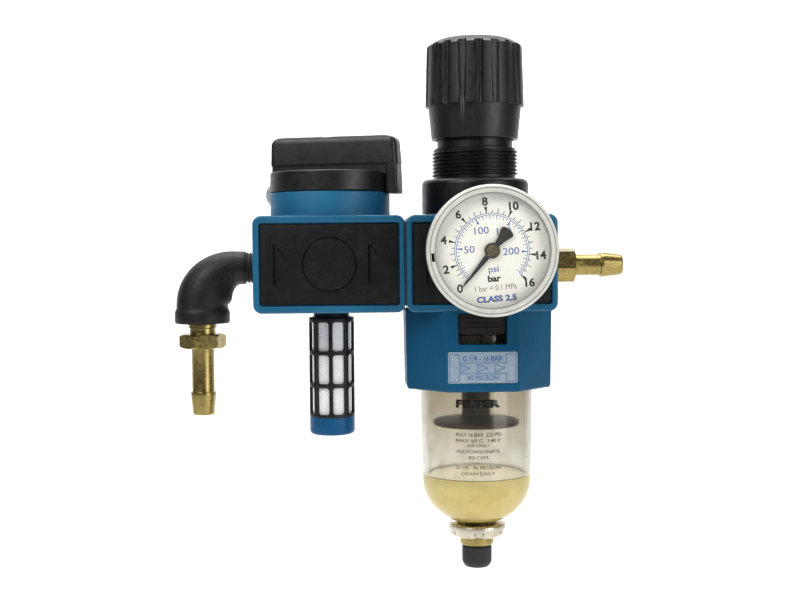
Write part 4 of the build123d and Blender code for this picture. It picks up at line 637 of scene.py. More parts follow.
def make_block(name, node, panel_x, body_slot):
    """A rounded block with a framed recess in front and its mounting holes behind."""
    span = Span(node)
    width = span.x1 - span.x0
    inner_width = PANEL.x1 - PANEL.x0 + 2 * PANEL_GAP
    inner_height = PANEL_HEIGHT + 2 * PANEL_GAP
    outer = [(0.5, 0), (0.15, -0.15), (0, -0.5)]
    for angle in quarter_turns(4):
        outer.append((0.8 * (1 - math.cos(angle)), BLOCK_FRONT + 0.8 * (1 - math.sin(angle))))
    inner = []
    for angle in quarter_turns(3):
        inner.append((0.35 * (math.sin(angle) - 1), BLOCK_FRONT + 0.35 * (1 - math.cos(angle))))
    inner.append((0, RECESS_FLOOR))
    loops = plates(width, BLOCK_HEIGHT, BLOCK_CORNER, span.x, BLOCK_MIDDLE, outer)
    loops += plates(inner_width, inner_height, PANEL_CORNER, panel_x, BLOCK_MIDDLE, inner)
    block = loft(name, loops)
    cutters = []
    side = 1 if panel_x > 0 else -1
    for z in (-HOLE_Z, HOLE_Z):
        hole = [(0, 1), (3.0, 1), (2.1, -0.6), (2.1, -10), (0, -11)]
        cutters.append(lathe("cutter", "Y", (side * HOLE_X, z), hole, turns=32))
    port = [(0, side * 62), (7.4, side * 62), (6.6, side * 60.2), (6.6, side * 56), (0, side * 56)]
    if panel_x > 0:
        tap = [(0, 1), (5.4, 1), (4.9, -0.4), (4.9, -6), (0, -6)]
        cutters.append(lathe("cutter", "Y", GAUGE_AXIS, tap, turns=48))
    else:
        exhaust = [(0, -19), (8.0, -19), (7.4, -17.4), (7.4, -14), (0, -14)]
        cutters.append(lathe("cutter", "Z", VALVE_AXIS, exhaust, turns=64))
    combine(block, *cutters, lathe("cutter", "X", (PORT_Y, 0), port, turns=64))
    return dress(block, "blue", body_slot, node)


make_block("valve_block", "valve_body", VALVE_AXIS[0], "blue_paint")
make_block("regulator_block", "regulator_body", REGULATOR_AXIS[0], "blue_paint")


def make_post():
    """The small post and barrel at the valve's back left corner, with its screw."""
    screw = Span("post_screw")
    outline = rectangle(5.0, 4.0, 0.8)
    post = loft("post", [flat(outline, screw.x, -3.0, z) for z in (BLOCK_TOP - 0.2, screw.z - 2.5)])
    barrel = [(0, -1.0), (4.5, -1.0, 0.4), (4.5, -5.0, 0.2), (0, -5.0)]
    barrel = lathe("barrel", "Y", (screw.x, screw.z), barrel, turns=64)
    combine(post, barrel, operation="UNION")
    dress(post, "blue", "blue_paint")
    head = [
        (0, -7.1), (2.1, -7.1), (2.5, -8.0), (5.2, -8.0, 0.3), (6.3, -6.9, 0.5), (6.3, -5.0, 0.2), (0, -5.0),
    ]
    turned("post_screw_head", "Y", (screw.x, screw.z), head, 72, "screw", "steel", "post_screw")


make_post()


def make_panel(name, node, x, with_disc):
    """A black cover panel with two sunk arrows, and a raised disc or the hole for the gauge."""
    back = RECESS_FLOOR
    face = back - 1.6
    width = PANEL.x1 - PANEL.x0
    levels = [(0, back), (0, face + 0.35), (0.1, face + 0.1), (0.35, face)]
    panel = loft(name, plates(width, PANEL_HEIGHT, PANEL_CORNER, x, BLOCK_MIDDLE, levels))
    cutters = []
    for side in (-1, 1):
        left = x + side * 18.9 - 3.5
        shape = rounded([(0, -9.3, 0.5), (7.0, 0, 0.5), (0, 9.3, 0.5)], closed=True)
        wide = [(u * 1.06 - 0.1, v * 1.06) for u, v in shape]
        narrow = [(u * 0.86 + 0.4, v * 0.88) for u, v in shape]
        loops = [
            front(wide, left, BLOCK_MIDDLE, face - 0.2), front(shape, left, BLOCK_MIDDLE, face + 0.1),
            [(left + u, face + 1.4 - 0.15 * u, BLOCK_MIDDLE + v) for u, v in narrow],
        ]
        cutters.append(loft("cutter", loops))
    if with_disc:
        groove = [(10.2, face - 0.5), (11.1, face - 0.5), (10.95, face + 0.6), (10.5, face + 0.6)]
        cutters.append(lathe("cutter", "Y", (x, BLOCK_MIDDLE), solid_ring(groove), turns=128))
    else:
        cutters.append(lathe("cutter", "Y", GAUGE_AXIS, [(0, -60), (9, -60), (9, -50), (0, -50)], turns=96))
    combine(panel, *cutters)
    if with_disc:
        pad = [(0, face - 0.32), (10.3, face - 0.32, 0.75), (10.55, face + 0.5), (0, face + 0.5)]
        combine(panel, lathe("pad", "Y", (x, BLOCK_MIDDLE), pad, turns=128), operation="UNION")
    return dress(panel, "panel", "black_panel", node)


make_panel("valve_panel", "valve_front_panel", VALVE_AXIS[0], True)
make_panel("regulator_panel", "regulator_front_panel", REGULATOR_AXIS[0], False)

# ---- valve turret and bar knob

turret = [
    (5.2, BLOCK_TOP - 0.5), (TURRET.radius, BLOCK_TOP - 0.5), (TURRET.radius, TURRET.z1, 0.6),
    (5.2, TURRET.z1), (5.2, BLOCK_TOP - 0.5),
]
turned("turret", "Z", VALVE_AXIS, turret, 160, "turret", "turret_blue", "valve_turret")

KNOB_TURN = -17.0
TAB_INNER = 25.4


def make_valve_knob():
    """A disc, a bar across it that overhangs a web, and a tab at one end that hangs past the turret."""
    span = Span("valve_knob")
    disc = [(0, TURRET.z1 + 0.3), (25.1, TURRET.z1 + 0.3, 0.3), (24.9, 39.5, 0.7), (0, 39.5)]
    disc = lathe("valve_bar_knob", "Z", VALVE_AXIS, disc, turns=160)

    def level(points, u, z):
        return flat(turned_by([(p + u, q) for p, q in points], KNOB_TURN), *VALVE_AXIS, z)

    web = loft("web", [level(rectangle(50.2, 9, 0.6), 0.9, 38.5), level(rectangle(50.2, 9, 0.6), 0.9, 43.0)])
    left, right = -25.0, 30.5
    bar_loops = []
    top = span.z1 - 0.3
    for inset, end, z in (
        (0.7, 0, 42.2), (0.15, 0, 42.6), (0, 0, 43.2), (0.2, 0, top - 3.0), (0.3, 0.2, top - 2.0),
        (0.45, 0.7, top - 1.1), (0.9, 1.6, top - 0.35), (1.8, 2.6, top),
    ):
        lean = (z - 42.2) * 0.06
        outline = rectangle(
            right - lean - left - 2 * inset - 2 * end, 10 - 2 * inset - lean * 0.3, 2.2 - inset * 0.6,
        )
        bar_loops.append(level(outline, (left + right - lean) / 2, z))
    bar = loft("bar", bar_loops)
    tab_loops = []
    for inset, z in ((0.6, 30.3), (0.1, 30.6), (0, 31.0), (0, 42.0), (0.1, 45.0)):
        outer = min(right, right - 0.45 + (42.2 - z) * 0.06)
        outline = rectangle(outer - TAB_INNER - 2 * inset, 9.8 - 2 * inset, 1.2 - inset * 0.6)
        tab_loops.append(level(outline, (outer + TAB_INNER) / 2, z))
    tab = loft("tab", tab_loops)
    combine(disc, web, bar, tab, operation="UNION")
    recess = [(0, 50.5), (3.6, 50.5), (3.9, top + 0.5), (0, top + 0.5)]
    combine(disc, lathe("cutter", "Z", VALVE_AXIS, recess, turns=48))
    even = disc.modifiers.new("even", "WEIGHTED_NORMAL")
    even.keep_sharp = True
    apply_modifiers(disc, None)
    return dress(disc, "knob", "black_knob", "valve_knob", body="valve_knob_group")


make_valve_knob()

# ---- silencer

FIRST_WINDOW = -69.0


def make_silencer():
    """A threaded neck, a cage of three rows of windows, its porous insert and a blue cap."""
    cap = Span("silencer_cap")
    radius, wall = cap.radius, 1.35
    count, share, corner = 8, 0.77, 1.15
    rows = [(-22.9, -34.9, -21.2, -35.75), (-36.6, -48.6, -35.75, -49.45), (-50.3, -61.5, -49.45, -63.0)]
    pitch = TAU * radius / count
    half, edge = pitch * share / 2, pitch / 2
    vertices, faces = [], []
    for spoke in range(count):
        turn = TAU * spoke / count + math.radians(FIRST_WINDOW)
        for window_top, window_bottom, top, bottom in rows:
            inner, outer = [], []
            for side_x, side_z in ((1, 1), (-1, 1), (-1, -1), (1, -1)):
                z_edge, z_far = (window_top, top) if side_z > 0 else (window_bottom, bottom)
                middle = (side_x * (half - corner), z_edge - side_z * corner)
                arc, around = [], []
                for step in range(5):
                    angle = math.pi / 2 * step / 4
                    arc.append((
                        middle[0] + side_x * corner * math.cos(angle),
                        middle[1] + side_z * corner * math.sin(angle),
                    ))
                    if step <= 2:
                        around.append((side_x * edge, middle[1] + (z_far - middle[1]) * step / 2))
                    else:
                        around.append((middle[0] + (side_x * edge - middle[0]) * (4 - step) / 2, z_far))
                if side_x != side_z:
                    arc.reverse()
                    around.reverse()
                inner += arc
                outer += around
                across = [-side_x * (half - corner) * (2 * step / 5 - 1) for step in range(1, 5)]
                if side_x == side_z:
                    inner += [(x, z_edge) for x in across]
                    outer += [(x, z_far) for x in across]
            base, total = len(vertices), len(inner)
            for x, z in inner + outer:
                vertices.append(along("Z", VALVE_AXIS, radius, turn + x / radius, z))
            for step in range(total):
                after = (step + 1) % total
                faces.append([base + step, base + after, base + total + after, base + total + step])
    shell = new_piece("silencer_shell", vertices, faces)
    thick = shell.modifiers.new("wall", "SOLIDIFY")
    thick.thickness = wall * MM
    thick.offset = -1
    apply_modifiers(shell)
    soften(shell, 0.22, 2, 40)
    neck = [
        (4.5, -22.2), (radius, -22.2), (radius, -21.0, 0.5), (7.65, -21.0, 0.3), (7.3, -19.0, 0.3),
        (6.0, BLOCK_BOTTOM, 0.2), (6.0, -11.3), (4.5, -11.3), (4.5, -22.2),
    ]
    neck = lathe("neck", "Z", VALVE_AXIS, neck, turns=96)
    whole = join("silencer_cage_piece", shell, neck)
    shade(whole)
    dress(whole, "cage", "cage_black", "silencer_cage")
    element = [(4.0, -22.6), (7.95, -22.6, 0.3), (7.95, -62.9, 0.3), (4.0, -62.9), (4.0, -22.6)]
    turned("silencer_insert", "Z", VALVE_AXIS, element, 96, "porous", "porous_white", "silencer_element")
    lid = [
        (0, -62.0), (radius - 0.2, -62.0), (radius, -63.1, 0.2), (radius, cap.z0, 1.6), (5.5, cap.z0, 0.4),
        (5.0, cap.z0 + 0.5), (0, cap.z0 + 0.5),
    ]
    turned("silencer_end_cap", "Z", VALVE_AXIS, lid, 96, "cap", "cap_blue", "silencer_cap")


make_silencer()

# ---- elbow and hose barbs

ELBOW = Span("inlet_elbow")
ELBOW_X = Span("inlet_barb").x


def make_elbow():
    """A cast elbow that swells round its bend to a band at its lower end."""
    bend = 15.5
    centre = (ELBOW_X + bend, -bend)
    mouth = -66.0
    path = []
    for radius, inset in ((6.0, 0), (6.55, 0), (6.8, 0.15), (6.9, 0.5), (6.95, 2.5)):
        path.append((radius, 0, (mouth - inset, 0), (-1, 0)))
    for step in range(1, 29):
        angle = math.pi / 2 * step / 28
        place = (centre[0] - bend * math.sin(angle), centre[1] + bend * math.cos(angle))
        swell = 6.95 + 3.8 * math.sin(angle) ** 1.3
        path.append((swell, 1.9 * math.sin(2 * angle), place, (-math.cos(angle), -math.sin(angle))))
    end = ELBOW.z0 + 0.9
    band_top = end + 5.4
    for radius, z in (
        (10.75, band_top + 1.0), (10.85, band_top + 0.6), (11.1, band_top + 0.1), (11.38, band_top - 0.5),
        (11.5, band_top - 1.1), (11.45, end + 0.7), (11.3, end + 0.2), (10.9, end), (7.2, end),
        (6.6, end + 0.6), (6.6, end + 8),
    ):
        path.append((radius, 0, (ELBOW_X, z), (0, -1)))
    steps = 72
    loops = []
    for radius, bulge, (x, z), (tx, tz) in path:
        loop = []
        for step in range(steps):
            angle = TAU * step / steps
            sideways, out = radius * math.cos(angle), radius * math.sin(angle)
            out += bulge * max(0.0, math.sin(angle)) ** 1.5
            loop.append((x - tz * out, PORT_Y + sideways, z + tx * out))
        loops.append(loop)
    elbow = loft("elbow_casting", loops, sharp=40)
    core = lathe("core", "X", (PORT_Y, 0), [(0, -67.0), (5.95, -67.0), (5.95, -50), (0, -50)], turns=64)
    ridge = screw_ridge("ridge", "X", (PORT_Y, 0), 6.5, 0.6, -66.4, -58.0, 1.34)
    whole = join("elbow", elbow, core, ridge)
    shade(whole, 38)
    return dress(whole, "iron", "black_iron", "inlet_elbow")


make_elbow()


def make_barb(name, node, axis, centre, levels, material, flats, shank, tip_radius, turn):
    """A hose barb. levels: inside end, thread, relief, hexagon start and end, barb and tip."""
    inside, thread, relief, hex_start, hex_end, barb, tip = levels
    way = 1 if tip > inside else -1
    body = rounded([
        (3.0, inside), (5.9, inside), (5.9, relief), (5.4, relief + way * 0.2, 0.2), (5.4, hex_start, 0.2),
        (5.5, hex_start), (5.5, hex_end), (shank, hex_end + way * 0.01, 0.1),
        (shank, barb - way * 0.05, 0.15), (5.25, barb, 0.12), (5.25, barb + way * 1.1, 0.25),
        (tip_radius + 0.3, tip - way * 0.7, 0.4), (tip_radius, tip, 0.35), (3.2, tip, 0.2),
        (3.0, tip - way * 0.6), (3.0, inside),
    ], steps=4)
    body = lathe("barb_body", axis, centre, body, turns=96)
    low, high = sorted((hex_start, hex_end))
    collar = hexagon_collar("collar", axis, centre, flats, low, high, 3.1, turn)
    low, high = sorted((inside, thread))
    ridge = screw_ridge("ridge", axis, centre, 6.5, 0.6, low, high, 1.34)
    whole = join(name, body, collar, ridge)
    shade(whole, 28)
    return dress(whole, material, "brass", node)


INLET_LEVELS = (-15.0, -24.9, -24.9, -27.6, -33.5, -51.95, Span("inlet_barb").z0 + 0.6)
OUTLET_LEVELS = (50.5, 62.5, 62.5, 64.0, 72.5, 83.3, Span("outlet_barb").x1)
INLET_AXIS = (ELBOW_X, PORT_Y)
make_barb("inlet_hose_barb", "inlet_barb", "Z", INLET_AXIS, INLET_LEVELS, "brass_z", 17.0, 4.68, 4.2, 15)
make_barb("outlet_hose_barb", "outlet_barb", "X", (PORT_Y, 0), OUTLET_LEVELS, "brass_x", 13.0, 4.4, 4.0, 10)

# ---- bonnet and adjusting knob


def make_bonnet():
    """Collar, mounting thread and the neck that the knob slides over."""
    outline = rounded([
        (12.0, 22.0), (BONNET.radius, 22.0), (BONNET.radius, 36.2, 2.2), (17.3, 36.2, 0.3), (17.05, 36.6),
        (17.05, 49.0), (15.75, 49.4, 0.2), (15.75, BONNET.z1, 0.8), (4.2, BONNET.z1), (4.2, 58.0),
        (12.0, 58.0), (12.0, 22.0),
    ], steps=6)
    body = lathe("bonnet_body", "Z", REGULATOR_AXIS, outline, turns=144)
    ridge = screw_ridge("ridge", "Z", REGULATOR_AXIS, 18.0, 0.95, 36.4, 49.3, 1.5, 96)
    whole = join("bonnet_shell", body, ridge)
    shade(whole, 30)
    return dress(whole, "bonnet", "black_knob", "bonnet")


make_bonnet()


def make_adjusting_knob():
    """A conical skirt under a crown of flat-topped ribs with hollow valleys, and a domed top."""
    ribs = 18
    skirt_top = 66.7
    top = KNOB.z1
    crown_top = 91.6
    flank = 0.75

    def crown(radius, height, angle):
        if height < skirt_top - 0.05 or radius < 16.45:
            return radius
        rise = min(1.0, max(0.0, (height - skirt_top) / (crown_top - skirt_top)))
        half = 1.95 - 0.5 * rise
        off = abs((angle / TAU * ribs + 0.5) % 1.0 - 0.5) * TAU / ribs * 20.0
        share = min(1.0, max(0.0, (half + flank - off) / flank))
        share = share * share * (3 - 2 * share)
        hollow = 0.0
        if off > half + flank:
            hollow = 0.35 * math.cos(math.pi * min(1.0, (TAU / ribs * 10.0 - off) / 1.6))
        valley = 19.45 - 0.95 * rise - 0.25 * hollow
        outside = 20.65 - 0.7 * rise
        return min(valley + (outside - valley) * share, radius)

    skirt = rounded([
        (16.4, KNOB.z0 + 0.2), (16.8, KNOB.z0, 0.15), (18.1, KNOB.z0, 0.35), (19.45, skirt_top - 0.06),
    ])
    crown_outline = [(21.0, skirt_top), (21.0, 70.0), (21.0, 76.0), (21.0, 82.0), (21.0, 88.0), (21.0, 90.6)]
    crown_outline += [(20.2, 91.3), (19.4, 91.9), (18.6, 92.4), (17.8, 92.9), (16.8, 93.5), (15.6, 94.1)]
    crown_outline += [(14.2, 94.55), (12.0, 94.85), (8.0, 94.97), (0, top)]
    inside = [(0, 91.0), (15.8, 89.0), (16.2, 68.0), (16.4, KNOB.z0 + 0.2)]
    outline = list(skirt) + crown_outline + inside
    turns = ribs * 28
    turned(
        "adjusting_knob_shell", "Z", REGULATOR_AXIS, outline, turns, "knob", "black_knob", "adjusting_knob",
        shape=crown, sharp=35, body="adjusting_knob_group",
    )


make_adjusting_knob()

# ---- gauge

DIAL_TURN = 4.4
DIAL_FACE = Span("gauge_dial").y0
INK = 0.035


def gauge_point(radius, degrees):
    angle = math.radians(degrees + DIAL_TURN)
    return GAUGE_AXIS[0] + radius * math.cos(angle), GAUGE_AXIS[1] + radius * math.sin(angle)


def prisms(name, shapes, back, face):
    """Thin upright prisms between two depths. Each shape is a list of (x, z) points."""
    vertices, faces = [], []
    for shape in shapes:
        base, count = len(vertices), len(shape)
        vertices += [(x, y, z) for y in (face, back) for x, z in shape]
        faces += [
            [base + step for step in range(count)], [base + count + step for step in reversed(range(count))],
        ]
        for step in range(count):
            after = (step + 1) % count
            faces.append([base + step, base + count + step, base + count + after, base + after])
    return new_piece(name, vertices, faces, 20)


def flat_print(name, shapes, face=DIAL_FACE):
    """Thin printed shapes on the dial. Each shape is a list of (radius, degrees) points."""
    points = [[gauge_point(radius, degrees) for radius, degrees in shape] for shape in shapes]
    return prisms(name, points, face + 0.01, face - INK)


def tick(inner, outer, degrees, inner_width, outer_width):
    """A radial mark, wider at one end if asked."""
    low, high = math.degrees(inner_width / inner / 2), math.degrees(outer_width / outer / 2)
    return [(inner, degrees - low), (inner, degrees + low), (outer, degrees + high), (outer, degrees - high)]


def arc_band(inner, outer, start, end, steps=96):
    """Pieces of a ring from one angle to another."""
    bands = []
    for step in range(steps):
        first = start + (end - start) * step / steps
        second = start + (end - start) * (step + 1) / steps
        bands.append([(inner, first), (outer, first), (outer, second), (inner, second)])
    return bands


def words(text, height, x, z, degrees=0.0, bold=0.0, squeeze=1.0, face=None, width=None):
    """Printed characters on a face that looks forward, centred at a place counted from the gauge's axis."""
    face = DIAL_FACE if face is None else face
    curve = bpy.data.curves.new("words", "FONT")
    curve.body = text
    curve.align_x = "CENTER"
    curve.align_y = "CENTER"
    curve.size = 1.0
    curve.offset = bold
    curve.resolution_u = 4
    source = bpy.data.objects.new("words", curve)
    bpy.context.scene.collection.objects.link(source)
    bpy.context.view_layer.update()
    mesh = bpy.data.meshes.new_from_object(source.evaluated_get(bpy.context.evaluated_depsgraph_get()))
    bpy.data.objects.remove(source)
    across, up = [v.co.x for v in mesh.vertices], [v.co.y for v in mesh.vertices]
    left, right, low, high = min(across), max(across), min(up), max(up)
    scale = height / (high - low)
    if width:
        squeeze = width / (right - left) / scale
    for vertex in mesh.vertices:
        u = (vertex.co.x - (left + right) / 2) * scale * squeeze
        v = (vertex.co.y - (low + high) / 2) * scale
        ((u, v),) = turned_by([(u, v)], degrees)
        vertex.co = [value * MM for value in (GAUGE_AXIS[0] + x + u, face - INK, GAUGE_AXIS[1] + z + v)]
    piece = bpy.data.objects.new("words", mesh)
    bpy.context.scene.collection.objects.link(piece)
    thick = bmesh.new()
    thick.from_mesh(mesh)
    grown = bmesh.ops.extrude_face_region(thick, geom=list(thick.faces))
    for item in grown["geom"]:
        if isinstance(item, bmesh.types.BMVert):
            item.co.y += (INK + 0.01) * MM
    bmesh.ops.recalc_face_normals(thick, faces=thick.faces)
    thick.to_mesh(mesh)
    thick.free()
    return piece


def bar_angle(bar):
    """Where a pressure in bar stands on the dial."""
    if bar < 2:
        return 225 - 13.75 * bar
    return 197.5 - 34.57 / 2 * (bar - 2)


def make_dial():
    dial = [
        (1.6, DIAL_FACE + 0.5), (23.0, DIAL_FACE + 0.5), (23.0, DIAL_FACE, 0.1), (1.6, DIAL_FACE),
        (1.6, DIAL_FACE + 0.5),
    ]
    turned("dial_plate", "Y", GAUGE_AXIS, dial, 128, "dial", "dial_ivory", "gauge_dial")
    black = []
    for half in range(0, 33):
        bar = half / 2
        degrees = bar_angle(bar)
        if half % 4 == 0 and half:
            black.append(tick(14.3, 15.4, degrees, 0.32, 0.45))
            black.append(tick(15.3, 16.9, degrees, 0.5, 1.15))
        elif half % 2 == 0:
            black.append(tick(14.3, 16.2, degrees, 0.27, 0.27))
        else:
            black.append(tick(14.3, 15.6, degrees, 0.22, 0.22))
    marks = flat_print("marks", black)
    numerals = []
    for bar in range(0, 17, 2):
        degrees = bar_angle(bar)
        x, z = gauge_point(18.95, degrees)
        numerals.append(words(str(bar), 3.3, x - GAUGE_AXIS[0], z - GAUGE_AXIS[1], DIAL_TURN, 0.032, 1.04))
    numerals.append(words("bar", 2.6, 0.85, -10.6, DIAL_TURN, 0.04, 1.1))
    print_black = join("dial_marks", marks, *numerals)
    dress(print_black, "ink_black", "pointer_black")
    blue = arc_band(13.55, 13.77, 225.5, -45) + arc_band(14.2, 14.44, 225.5, -45)
    for psi in range(0, 231, 5):
        degrees = bar_angle(psi / 14.504)
        if psi % 50 == 0 and psi:
            blue.append(tick(11.4, 12.6, degrees, 1.0, 0.45))
            blue.append(tick(12.5, 13.7, degrees, 0.45, 0.35))
        elif psi % 10 == 0:
            blue.append(tick(12.2, 13.7, degrees, 0.26, 0.26))
        else:
            blue.append(tick(12.6, 13.7, degrees, 0.2, 0.2))
    scale = flat_print("scale", blue)
    numbers = []
    for psi, radius in ((50, 8.7), (100, 8.7), (150, 8.7), (200, 7.3)):
        x, z = gauge_point(radius, bar_angle(psi / 14.504))
        numbers.append(words(str(psi), 2.75, x - GAUGE_AXIS[0], z - GAUGE_AXIS[1], DIAL_TURN, 0.006, 1.12))
    numbers.append(words("psi", 3.1, 0.6, -7.4, DIAL_TURN, 0.012, 1.1))
    numbers.append(words("CLASS 2.5", 2.45, 1.75, -18.3, DIAL_TURN, 0.05, width=15.4))
    print_blue = join("dial_scale", scale, *numbers)
    dress(print_blue, "ink_blue", "label_print")
    note = words("1 bar = 0.1 MPa", 2.1, 1.4, -14.1, DIAL_TURN, width=16.0)
    note.name = "dial_note"
    dress(note, "ink_grey", "pointer_black")


make_dial()


def make_pointer():
    """A tapering needle with a fan-shaped tail and a bronze boss."""
    face = Span("gauge_pointer").y0
    angle = 230.6
    right_side = [(17.9, 0.12), (16.6, 0.3), (9.0, 0.68), (3.0, 1.05)]
    tail = [(-3.0, 1.1), (-5.5, 1.55), (-8.3, 2.55), (-9.2, 2.75), (-9.9, 2.3), (-10.3, 1.2), (-10.4, 0.0)]
    outline = right_side + tail
    outline += [(u, -v) for u, v in reversed(outline[:-1])]
    place = turned_by(outline, angle)
    thick = [
        front(place, *GAUGE_AXIS, face + 0.5), front(place, *GAUGE_AXIS, face + 0.1),
        front(place, *GAUGE_AXIS, face),
    ]
    needle = loft("needle", thick)
    ring = [(0, face + 0.5), (3.0, face + 0.5), (3.0, face - 0.35, 0.3), (2.4, face - 0.35), (0, face - 0.35)]
    ring = lathe("ring", "Y", GAUGE_AXIS, ring, turns=64)
    combine(needle, ring, operation="UNION")
    needle.name = "gauge_needle"
    dress(needle, "pointer", "pointer_black", "gauge_pointer", body="pointer_group")
    boss = [(0, face - 1.0), (0.4, face - 1.0), (2.2, face - 0.92, 0.3), (2.4, face - 0.3), (0, face - 0.3)]
    turned("needle_boss", "Y", GAUGE_AXIS, boss, 64, "hub", "brass", body="pointer_group")


make_pointer()


def make_gauge_case():
    back = Span("gauge_case").y1
    case = [
        (4.0, back), (24.85, back, 1.4), (24.85, -78.05, 0.2), (24.15, -78.05), (24.15, -80.6, 0.2),
        (23.05, -80.6), (23.05, back - 1.4), (4.0, back - 1.4), (4.0, back),
    ]
    turned("gauge_can", "Y", GAUGE_AXIS, case, 144, "case", "gauge_steel", "gauge_case")
    face = LENS.y0
    window = [(0, face + 0.55), (21.7, face + 0.55), (21.7, face + 1.3), (0, face + 1.3)]
    turned("gauge_window", "Y", GAUGE_AXIS, window, 144, "lens", "lens_clear", "gauge_lens")
    rim = rounded([
        (22.15, face + 0.5), (22.3, face + 0.15, 0.1), (22.75, face + 0.1), (23.75, face + 0.02, 0.15),
        (23.85, face + 0.3), (24.0, face + 0.3), (24.1, face + 0.1, 0.1), (24.6, face + 0.25, 0.3),
        (LENS.radius, face + 1.2, 0.6), (LENS.radius, -78.15, 0.15), (24.2, -78.15), (24.2, -80.7),
        (22.15, -80.7), (22.15, face + 0.5),
    ], steps=4)
    turned("gauge_rim", "Y", GAUGE_AXIS, rim, 160, "bezel", "lens_clear")
    # Painted shade: a grey ring at the bezel's inner edge stands for the shade there.
    seal = [(21.75, -80.7), (21.75, face + 0.6), (22.14, face + 0.4), (22.14, -80.7), (21.75, -80.7)]
    turned("gauge_rim_shade_ring", "Y", GAUGE_AXIS, seal, 160, "rim_shade_grey", "lens_clear")
    # Painted shade: a black ring in the step of the rim stands for the dark line of shade there.
    line = solid_ring([(23.86, face + 0.22), (24.0, face + 0.22), (24.0, face + 0.34), (23.86, face + 0.34)])
    turned("gauge_rim_shade_line", "Y", GAUGE_AXIS, line, 160, "pointer", "pointer_black")
    notch_points = []
    for step in range(7):
        notch_points.append((23.55, 182.0 - DIAL_TURN + 8.0 * step / 6))
    for step in range(6, -1, -1):
        notch_points.append((22.4, 182.0 - DIAL_TURN + 8.0 * step / 6))
    notch = flat_print("gauge_rim_notch", [notch_points], face + 0.06)
    dress(notch, "pointer", "pointer_black")


make_gauge_case()

# ---- filter guard and label

WINDOW_MIDDLE = -24.9
LABEL = Span("label_plate")


def make_guard():
    """The lower housing: eight-sided in plan, with a sunk window for the latch and a pocket for the label."""
    middle_y = -28.5

    def plan(inset, z):
        corners = [
            (15.2 - inset * 0.6, -28.5 + inset, 1.0), (30.3 - inset, -12.5 + inset * 0.3, 1.2),
            (30.3 - inset, 12.5 - inset * 0.3, 1.2), (15.2 - inset * 0.6, 28.5 - inset, 1.0),
            (-15.2 + inset * 0.6, 28.5 - inset, 1.0), (-30.3 + inset, 12.5 - inset * 0.3, 1.2),
            (-30.3 + inset, -12.5 + inset * 0.3, 1.2), (-15.2 + inset * 0.6, -28.5 + inset, 1.0),
        ]
        return flat(rounded(corners, 4, closed=True), REGULATOR_AXIS[0], middle_y, z)

    bottom = GUARD.z0
    loops = [plan(0, BLOCK_BOTTOM), plan(0.46, bottom + 1.4)]
    loops += [
        plan(0.5 + 1.2 * (1 - math.cos(a)), bottom + 1.2 * (1 - math.sin(a)))
        for a in (0.4, 0.8, 1.2, math.pi / 2)
    ]
    guard = loft("guard_shell", loops)
    bore = lathe("cutter", "Z", REGULATOR_AXIS, [
        (0, bottom - 1), (24.9, bottom - 1), (24.3, bottom + 0.6), (24.3, -20), (0, -20),
    ], turns=128)
    levels = [(0, -58.0), (0, -57.0), (0.4, -56.5), (0.4, -48.5)]
    window = loft("cutter", plates(20.4, 13.4, 1.2, REGULATOR_AXIS[0], WINDOW_MIDDLE, levels))
    label = loft("cutter", plates(28.4, 13.0, 0.9, REGULATOR_AXIS[0], LABEL.z, [(0, -58.0), (0, -55.6)]))
    screws = []
    for x in (-24.8, 24.8):
        for y in (-12.8, 12.8):
            hole = [(0, bottom - 1), (2.85, bottom - 1), (2.85, bottom + 4), (0, bottom + 4)]
            screws.append(lathe("cutter", "Z", (REGULATOR_AXIS[0] + x, middle_y + y), hole, turns=32))
    combine(guard, bore, window, label, *screws)
    return dress(guard, "guard", "guard_blue", "filter_guard")


make_guard()


def make_label():
    """The type plate: two side fields, two lines of figures and a row of three flow arrows."""
    span = LABEL
    face = span.y0
    levels = [(0, span.y1), (0, face + 0.2), (0.08, face + 0.05), (0.22, face)]
    body = loft("type_plate", plates(28.1, 12.7, 0.8, span.x, span.z, levels))
    dress(body, "label", "label_print", "label_plate")
    lines = []

    def stroke(x0, z0, x1, z1, width=0.26):
        ends = Vector((x1 - x0, z1 - z0)).normalized() * width / 2
        side = Vector((-ends.y, ends.x))
        a, b = Vector((span.x + x0, span.z + z0)) - ends, Vector((span.x + x1, span.z + z1)) + ends
        lines.append([a + side, b + side, b - side, a - side])

    outline = [(-13.3, 5.3), (-9.5, 5.3), (-9.5, 1.9), (9.5, 1.9), (9.5, 5.3), (13.3, 5.3)]
    outline += [(x, -5.6 if z > 5 else -2.4) for x, z in reversed(outline)]
    for (x0, z0), (x1, z1) in zip(outline, outline[1:] + outline[:1]):
        stroke(x0, z0, x1, z1)
    for x in (-9.3, -2.1, 4.9):
        stroke(x, -1.8, x, 1.3)
        stroke(x, 1.3, x + 4.1, -0.25)
        stroke(x, -1.8, x + 4.1, -0.25)
    ink = prisms("type_plate_lines", lines, face + 0.01, face - 0.03)
    rows = []
    for text, z, bold, width in (("G 1/4 - 16 BAR", 3.65, 0.02, 16.0), ("40 MICRON", -4.1, 0, 12.5)):
        x, up = span.x - GAUGE_AXIS[0], span.z + z - GAUGE_AXIS[1]
        rows.append(words(text, 2.1, x, up, bold=bold, face=face, width=width))
    ink = join("type_plate_print", ink, *rows)
    dress(ink, "label_ink", "label_print")


make_label()

# ---- bowl, condensate and drain

BOWL_STEPS = 24


def dome(radius, top_z, low_radius, low_z, steps=BOWL_STEPS):
    """Quarter-ellipse points from the wall down to the drain's collar."""
    points = []
    depth = top_z - low_z
    end = math.acos(low_radius / radius)
    scale = depth / math.sin(end)
    for step in range(steps + 1):
        angle = end * step / steps
        points.append((radius * math.cos(angle), top_z - scale * math.sin(angle)))
    return points


